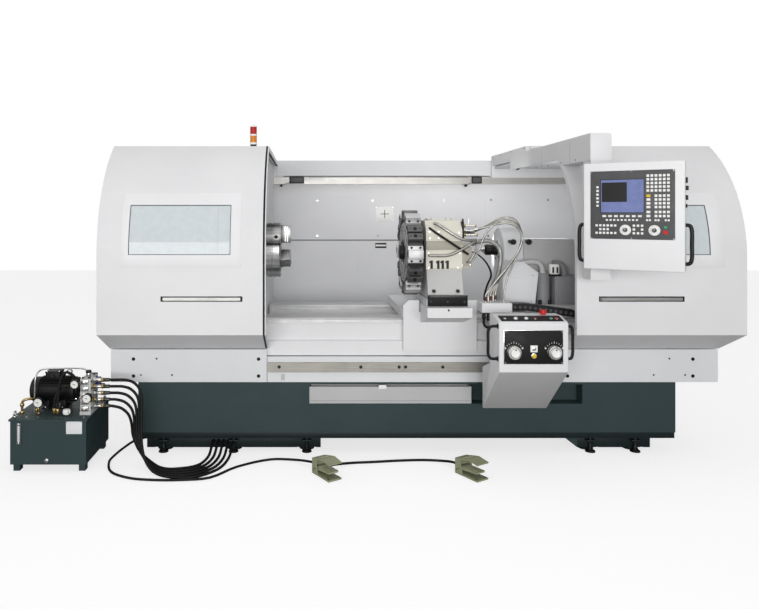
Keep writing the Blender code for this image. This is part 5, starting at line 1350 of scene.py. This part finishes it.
# %% [markdown]
# ## The hydraulic unit
# The unit that clamps the chuck is bought ready: a painted tank, a finned motor that lies on it, a stack of
# valves with the five hoses, three gauges on stems and a level glass. The motor's fins are one thin block
# that is set round its axis again and again, and each valve in the stack is the same few shapes.

# %% Motor
bm = bmesh.new()
AXLE = (0.235, 0.452)
turned(bm, "X", AXLE, [(-2.530, 0.0), (-2.530, 0.060), (-2.526, 0.072), (-2.518, 0.080), (-2.470, 0.0815),
                       (-2.468, 0.078), (-2.466, 0.074), (-2.268, 0.074), (-2.266, 0.080), (-2.248, 0.082),
                       (-2.240, 0.078), (-2.232, 0.060), (-2.2255, 0.058), (-2.2255, 0.0)], 40, 0)
# The fins.
for k in range(30):
    turn = round_about("X", AXLE, 2 * pi * k / 30)
    block(bm, (-2.464, -2.270), (-0.0014, 0.0014), (0.070, 0.0872), 0, 0.0, turn)
# Rings on the fan's cover.
for k in range(5):
    r = 0.012 + 0.011 * k
    turned(bm, "X", AXLE, [(-2.5300, r), (-2.5316, r + 0.001), (-2.5316, r + 0.004), (-2.5300, r + 0.005)],
           32, 1)
for k in range(4):
    turn = round_about("X", AXLE, pi / 2 * k + pi / 4)
    rod(bm, "X", (0.0, 0.072), (-2.249, -2.224), 0.0055, 0.0055, 6, 2, 0.0008, turn)
    block(bm, (-2.262, -2.236), (-0.009, 0.009), (0.064, 0.086), 0, 0.002, turn)
# The feet.
for y in (0.175, 0.273):
    for x in ((-2.440, -2.405), (-2.330, -2.295)):
        block(bm, x, (y, y + 0.022), (0.3375, 0.392), 0, 0.002)
for x in ((-2.445, -2.400), (-2.335, -2.290)):
    block(bm, x, (0.158, 0.312), (0.3375, 0.3475), 0, 0.002)
    for y in (0.166, 0.304):
        rod(bm, "Z", ((x[0] + x[1]) / 2, y), (0.347, 0.3545), 0.007, 0.007, 6, 2, 0.001)
# The terminal box with its two glands, and the lifting eye.
block(bm, (-2.435, -2.340), (0.195, 0.275), (0.522, 0.5685), 0, 0.004)
block(bm, (-2.437, -2.338), (0.193, 0.277), (0.5655, 0.576), 0, 0.003)
for x in (-2.428, -2.347):
    for y in (0.202, 0.268):
        rod(bm, "Z", (x, y), (0.5755, 0.5785), 0.0045, 0.004, 10, 2)
rod(bm, "X", (0.235, 0.547), (-2.341, -2.318), 0.011, 0.011, 12, 1, 0.001)
rod(bm, "Y", (-2.385, 0.545), (0.180, 0.197), 0.012, 0.012, 12, 1, 0.001)
rod(bm, "Z", (-2.290, 0.235), (0.530, 0.549), 0.006, 0.006, 12, 2)
turned(bm, "Y", (-2.290, 0.566), [(0.229, 0.012), (0.229, 0.019), (0.241, 0.019), (0.241, 0.012),
                                  (0.229, 0.012)], 24, 2)
piece("hydraulic_motor", bm, (black_paint, black_plastic, bright_steel), "machine", ("power_unit_motor",))

# %% Valves and hose fittings
bm = bmesh.new()
block(bm, (-2.165, -2.095), (0.060, 0.260), (0.3295, 0.352), 0, 0.002)
for k in range(5):
    z = 0.542 - 0.042 * k
    block(bm, (-2.163 + 0.002 * (k % 2), -2.096), (0.062, 0.200), (z - 0.0205, min(z + 0.0205, 0.5595)),
          0, 0.002)
    block(bm, (-2.150, -2.110), (0.199, 0.258), (z - 0.015, z + 0.015), 3, 0.003)
    block(bm, (-2.152, -2.108), (0.045, 0.063), (z - 0.014, z + 0.014), 1, 0.002)
    rod(bm, "Y", (-2.130, z), (0.033, 0.046), 0.0075, 0.0075, 12, 1, 0.001)
    rod(bm, "X", (0.115, z), (-2.097, -2.079), 0.0165, 0.0165, 6, 2 if k % 2 else 1, 0.001)
    rod(bm, "X", (0.115, z), (-2.080, -2.030), 0.0120, 0.0110, 20, 1, 0.001)
    rod(bm, "X", (0.115, z), (-2.045, -2.028), 0.0150, 0.0150, 6, 2, 0.001)
    rod(bm, "X", (0.115, z), (-2.029, -1.9895), 0.0125, 0.0115, 20, 4, 0.001)
    for y in (0.070, 0.190):
        rod(bm, "X", (y, z), (-2.097, -2.090), 0.0055, 0.0055, 6, 3, 0.0006)
for k in (0, 1):
    z = 0.532 - 0.034 * k
    block(bm, (-2.098, -2.066), (0.158, 0.192), (z - 0.014, z + 0.014), 5, 0.003)
    rod(bm, "X", (0.175, z), (-2.067, -2.040), 0.008, 0.008, 12, 3, 0.001)
for x, y in ((-2.150, 0.080), (-2.110, 0.080), (-2.150, 0.180), (-2.110, 0.180)):
    rod(bm, "Z", (x, y), (0.5590, 0.5680), 0.0075, 0.0075, 12, 3, 0.001)
rod(bm, "Z", (-2.130, 0.130), (0.5590, 0.5850), 0.014, 0.014, 20, 1, 0.001)
rod(bm, "Z", (-2.130, 0.130), (0.5840, 0.6010), 0.019, 0.017, 20, 3, 0.002)
piece("hydraulic_valves", bm, (cast_paint, bright_steel, brass, black_plastic, dark_steel, violet_plastic),
      "machine", ("power_unit_valves",))

# %% Tank fittings
TANK_TOP = 0.3365
FILLER = (-2.248, 0.060)
bm = bmesh.new()
# Three gauges: case, white dial, marks and needle, each on its own stem.
for x, z, r in ((-2.432, 0.408, 0.031), (-2.185, 0.535, 0.028), (-2.108, 0.446, 0.030)):
    face = 0.018 if x > -2.2 else 0.060
    turned(bm, "Y", (x, z), [(face + 0.030, 0.0), (face + 0.030, r - 0.003), (face + 0.027, r), (face, r),
                             (face - 0.002, r - 0.001), (face - 0.002, r - 0.004),
                             (face + 0.001, r - 0.005)], 36, 0)
    rod(bm, "Y", (x, z), (face, face + 0.0015), r - 0.0045, r - 0.0045, 36, 1)
    for k in range(-4, 5):
        turn = round_about("Y", (x, z), radians(32 * k))
        block(bm, (-0.0005, 0.0005), (face - 0.0006, face + 0.001), (r - 0.0095, r - 0.0055), 0, 0.0, turn)
    turn = round_about("Y", (x, z), radians(-70))
    block(bm, (-0.0008, 0.0008), (face - 0.0009, face), (-0.005, 0.6 * r), 0, 0.0, turn)
    rod(bm, "Y", (x, z), (face - 0.0014, face), 0.003, 0.003, 12, 0)
    if x > -2.12:
        rod(bm, "Y", (x, z), (0.046, 0.064), 0.008, 0.008, 6, 2, 0.001)
    elif x > -2.2:
        pipe(bm, [(x, 0.045, z), (x, 0.058, z), (x + 0.012, 0.070, z), (-2.158, 0.072, z)], 0.006, 2, 4, 3)
    else:
        rod(bm, "Z", (x, 0.075), (TANK_TOP, 0.382), 0.007, 0.007, 6, 2, 0.001)
        rod(bm, "Z", (x, 0.075), (TANK_TOP, 0.344), 0.013, 0.013, 6, 2, 0.001)
# The brass elbow pipe and its nuts.
pipe(bm, [(-2.457, 0.110, TANK_TOP), (-2.457, 0.110, 0.400), (-2.463, 0.080, 0.428), (-2.500, 0.050, 0.434),
          (-2.522, 0.045, 0.420), (-2.524, 0.045, 0.380), (-2.524, 0.045, TANK_TOP)], 0.0085, 2, 6, 3)
for x, y, z in ((-2.457, 0.110, 0.350), (-2.524, 0.045, 0.352), (-2.524, 0.045, 0.400)):
    rod(bm, "Z", (x, y), (z - 0.009, z + 0.009), 0.0135, 0.0135, 6, 2, 0.001)
# Lifting eyes.
for x, y in ((-2.555, 0.010), (-2.115, 0.430), (-2.555, 0.430)):
    rod(bm, "Z", (x, y), (TANK_TOP, 0.3425), 0.015, 0.015, 20, 3, 0.001)
    turned(bm, "X", (y, 0.356), [(x - 0.004, 0.011), (x - 0.004, 0.018), (x + 0.004, 0.018),
                                 (x + 0.004, 0.011), (x - 0.004, 0.011)], 24, 3)
# The filler's cap with its grip ribs.
for k in range(6):
    turn = round_about("Z", FILLER, pi / 3 * k)
    rod(bm, "Z", (0.017, 0.0), (0.345, 0.366), 0.008, 0.007, 12, 4, 0.001, turn)
rod(bm, "Z", FILLER, (TANK_TOP, 0.369), 0.020, 0.019, 24, 4, 0.002)
# The level glass, a blank plate, the drain plug and the lid screws.
block(bm, (-2.532, -2.500), (-0.0285, -0.0195), (0.172, 0.308), 5, 0.003)
block(bm, (-2.523, -2.509), (-0.0296, -0.0280), (0.190, 0.290), 6, 0.001)
for z in (0.181, 0.299):
    rod(bm, "Y", (-2.516, z), (-0.0330, -0.0280), 0.0075, 0.0075, 6, 3, 0.001)
block(bm, (-2.223, -2.123), (-0.0215, -0.0198), (0.237, 0.315), 7, 0.0005)
for x in (-2.219, -2.127):
    for z in (0.241, 0.311):
        rod(bm, "Y", (x, z), (-0.0230, -0.0210), 0.002, 0.002, 10, 3)
rod(bm, "Y", (-2.3416, 0.072), (-0.0330, -0.0195), 0.014, 0.014, 6, 3, 0.001)
for x in row(-2.545, 0.0715, 7):
    rod(bm, "Z", (x, -0.010), (TANK_TOP, 0.3405), 0.0055, 0.0055, 6, 3)
# Two arched hoses with nuts, and a thin steel pipe over the motor.
pipe(bm, [(-2.305, 0.060, TANK_TOP), (-2.305, 0.060, 0.390), (-2.300, 0.060, 0.460), (-2.282, 0.058, 0.560),
          (-2.252, 0.058, 0.603), (-2.214, 0.060, 0.590), (-2.190, 0.070, 0.560), (-2.158, 0.085, 0.545)],
     0.0090, 8, 6, 3)
pipe(bm, [(-2.330, 0.070, TANK_TOP), (-2.330, 0.070, 0.380), (-2.322, 0.072, 0.440), (-2.285, 0.075, 0.500),
          (-2.230, 0.080, 0.510), (-2.190, 0.085, 0.500), (-2.158, 0.090, 0.498)], 0.0090, 8, 6, 3)
for x, y in ((-2.305, 0.060), (-2.330, 0.070)):
    rod(bm, "Z", (x, y), (TANK_TOP, 0.372), 0.0125, 0.0125, 6, 2, 0.001)
pipe(bm, [(-2.466, 0.100, TANK_TOP), (-2.466, 0.100, 0.480), (-2.460, 0.112, 0.575), (-2.440, 0.150, 0.600),
          (-2.320, 0.180, 0.601), (-2.200, 0.190, 0.598), (-2.160, 0.180, 0.590), (-2.150, 0.160, 0.570),
          (-2.150, 0.150, 0.556)], 0.0055, 3, 6, 3)
piece("tank_fittings", bm, (black_plastic, dial_white, brass, bright_steel, white_plastic, grey_plastic,
                            window_glass, white_paint, rubber), "machine")

# %% [markdown]
# ## The foot pedals
# Two cast guards each hide a rocking treadle. Raised ribs stop a boot from slipping, and two bolts hold
# the guard's foot plate. The ribs ride on the treadle and the bolts stay with the guard.

# %% Pedal ribs and bolts
# The ribs on each treadle and two strips on each guard are a paler olive than the guard.
for k, at in enumerate(PEDALS):
    bm = bmesh.new()
    for j in range(7):
        x = 0.050 + 0.0165 * j
        block(bm, (x, x + 0.0055), (-0.0325, 0.0325), (0.0500, 0.0526), 0, 0.0008, at)
    piece(f"treadle_ribs_{k + 1}", bm, (olive_light,), f"treadle_{k + 1}")
    bm = bmesh.new()
    for x in (0.160, 0.174):
        for y in (-0.036, 0.036):
            rod(bm, "Z", (x, y), (0.0098, 0.0128), 0.0042, 0.0040, 6, 0, 0.0, at)
    for x in (0.014, 0.032):
        for y in (-0.0490, 0.0475):
            rod(bm, "Y", (x, 0.018 + 0.6 * x), (y, y + 0.0015), 0.0042, 0.0042, 12, 0, 0.0, at)
    for x in (0.060, 0.085):
        block(bm, (x, x + 0.006), (-0.038, 0.038), (0.1090 + 0.25 * (x - 0.060),
                                                    0.1128 + 0.25 * (x - 0.060)), 1, 0.001, at)
    piece(f"pedal_bolts_{k + 1}", bm, (dark_steel, olive_light), "machine")

# %% [markdown]
# ## The base and the arm
# The base is folded plate with a set-back foot strip, and it stands on levelling screws: a round pad, a
# threaded stud and a lock nut each. The panel's arm is a closed sheet metal duct with screwed lids.

# %% Base trim and levelling feet
bm = bmesh.new()
# The darker green plates on the set-back strip and the pedestals' fronts, and the feet's brackets in the
# same green, are painted shade under the base.
block(bm, (-1.848, 1.752), (0.3108, 0.3125), (0.1005, 0.1415), 0, 0.0005)
for span in ((-1.803, -0.628), (1.121, 1.612)):
    block(bm, span, (0.3588, 0.3605), (0.024, 0.0995), 0, 0.0005)
for x in (-1.690, -1.216, -0.720, 1.200, 1.505):
    for y in (0.420, 1.790):
        rod(bm, "Z", (x, y), (0.0, 0.012), 0.052, 0.048, 32, 1, 0.002)
    rod(bm, "Z", (x, 0.340), (0.0, 0.011), 0.034, 0.031, 28, 1, 0.002)
    rod(bm, "Z", (x, 0.340), (0.010, 0.096), 0.0095, 0.0095, 16, 2, 0.0)
    rod(bm, "Z", (x, 0.340), (0.012, 0.026), 0.019, 0.019, 6, 1, 0.001)
    rod(bm, "Z", (x, 0.340), (0.058, 0.074), 0.017, 0.017, 6, 1, 0.001)
    block(bm, (x - 0.030, x + 0.030), (0.318, 0.360), (0.074, 0.084), 0, 0.002)
block(bm, (-1.845, 1.749), (0.2988, 0.3002), (0.143, 0.149), 3, 0.0)
for x in (-1.849, 1.7505):
    block(bm, (x, x + 0.0025), (0.2988, 0.3002), (0.150, 0.478), 3, 0.0)
piece("base_trim", bm, (dark_green, black_paint, dark_steel, green_paint), "machine")

# %% Arm fittings
bm = bmesh.new()
for x in (0.984, 1.087):
    for z in (1.945, 2.062):
        rod(bm, "Y", (x, z), (-0.2010, -0.1995), 0.0040, 0.0040, 12, 1)
block(bm, (0.976, 1.095), (-0.2012, -0.1998), (1.936, 2.071), 0, 0.001)
for y in (0.020, 0.260, 0.500, 0.740, 0.960):
    rod(bm, "X", (y, 1.950), (0.9708, 0.9722), 0.0045, 0.0045, 12, 1)
for y in (0.110, 0.620):
    block(bm, (0.9711, 0.9722), (y, y + 0.003), (1.936, 2.070), 2, 0.0)
for y in (1.020, 1.320, 1.620, 1.890):
    rod(bm, "X", (y, 2.120), (0.9708, 0.9722), 0.0040, 0.0040, 12, 1)
rod(bm, "Y", (1.036, 1.990), (1.368, 1.380), 0.018, 0.018, 20, 3, 0.002)
block(bm, (1.004, 1.078), (0.940, 0.9695), (2.0765, 2.128), 0, 0.003)
for k, slot in enumerate((4, 1, 4)):
    rod(bm, "Y", (1.020 + 0.021 * k, 2.103), (0.9335, 0.941), 0.0075, 0.0075, 16, slot, 0.001)
# The plate under the arm's front end is in the shaded grey: painted shade.
block(bm, (0.980, 1.091), (-0.190, -0.090), (1.9295, 1.9325), 2, 0.001)
piece("arm_fittings", bm, (white_paint, black_paint, shade_paint, grey_plastic, red_plastic), "door_right")
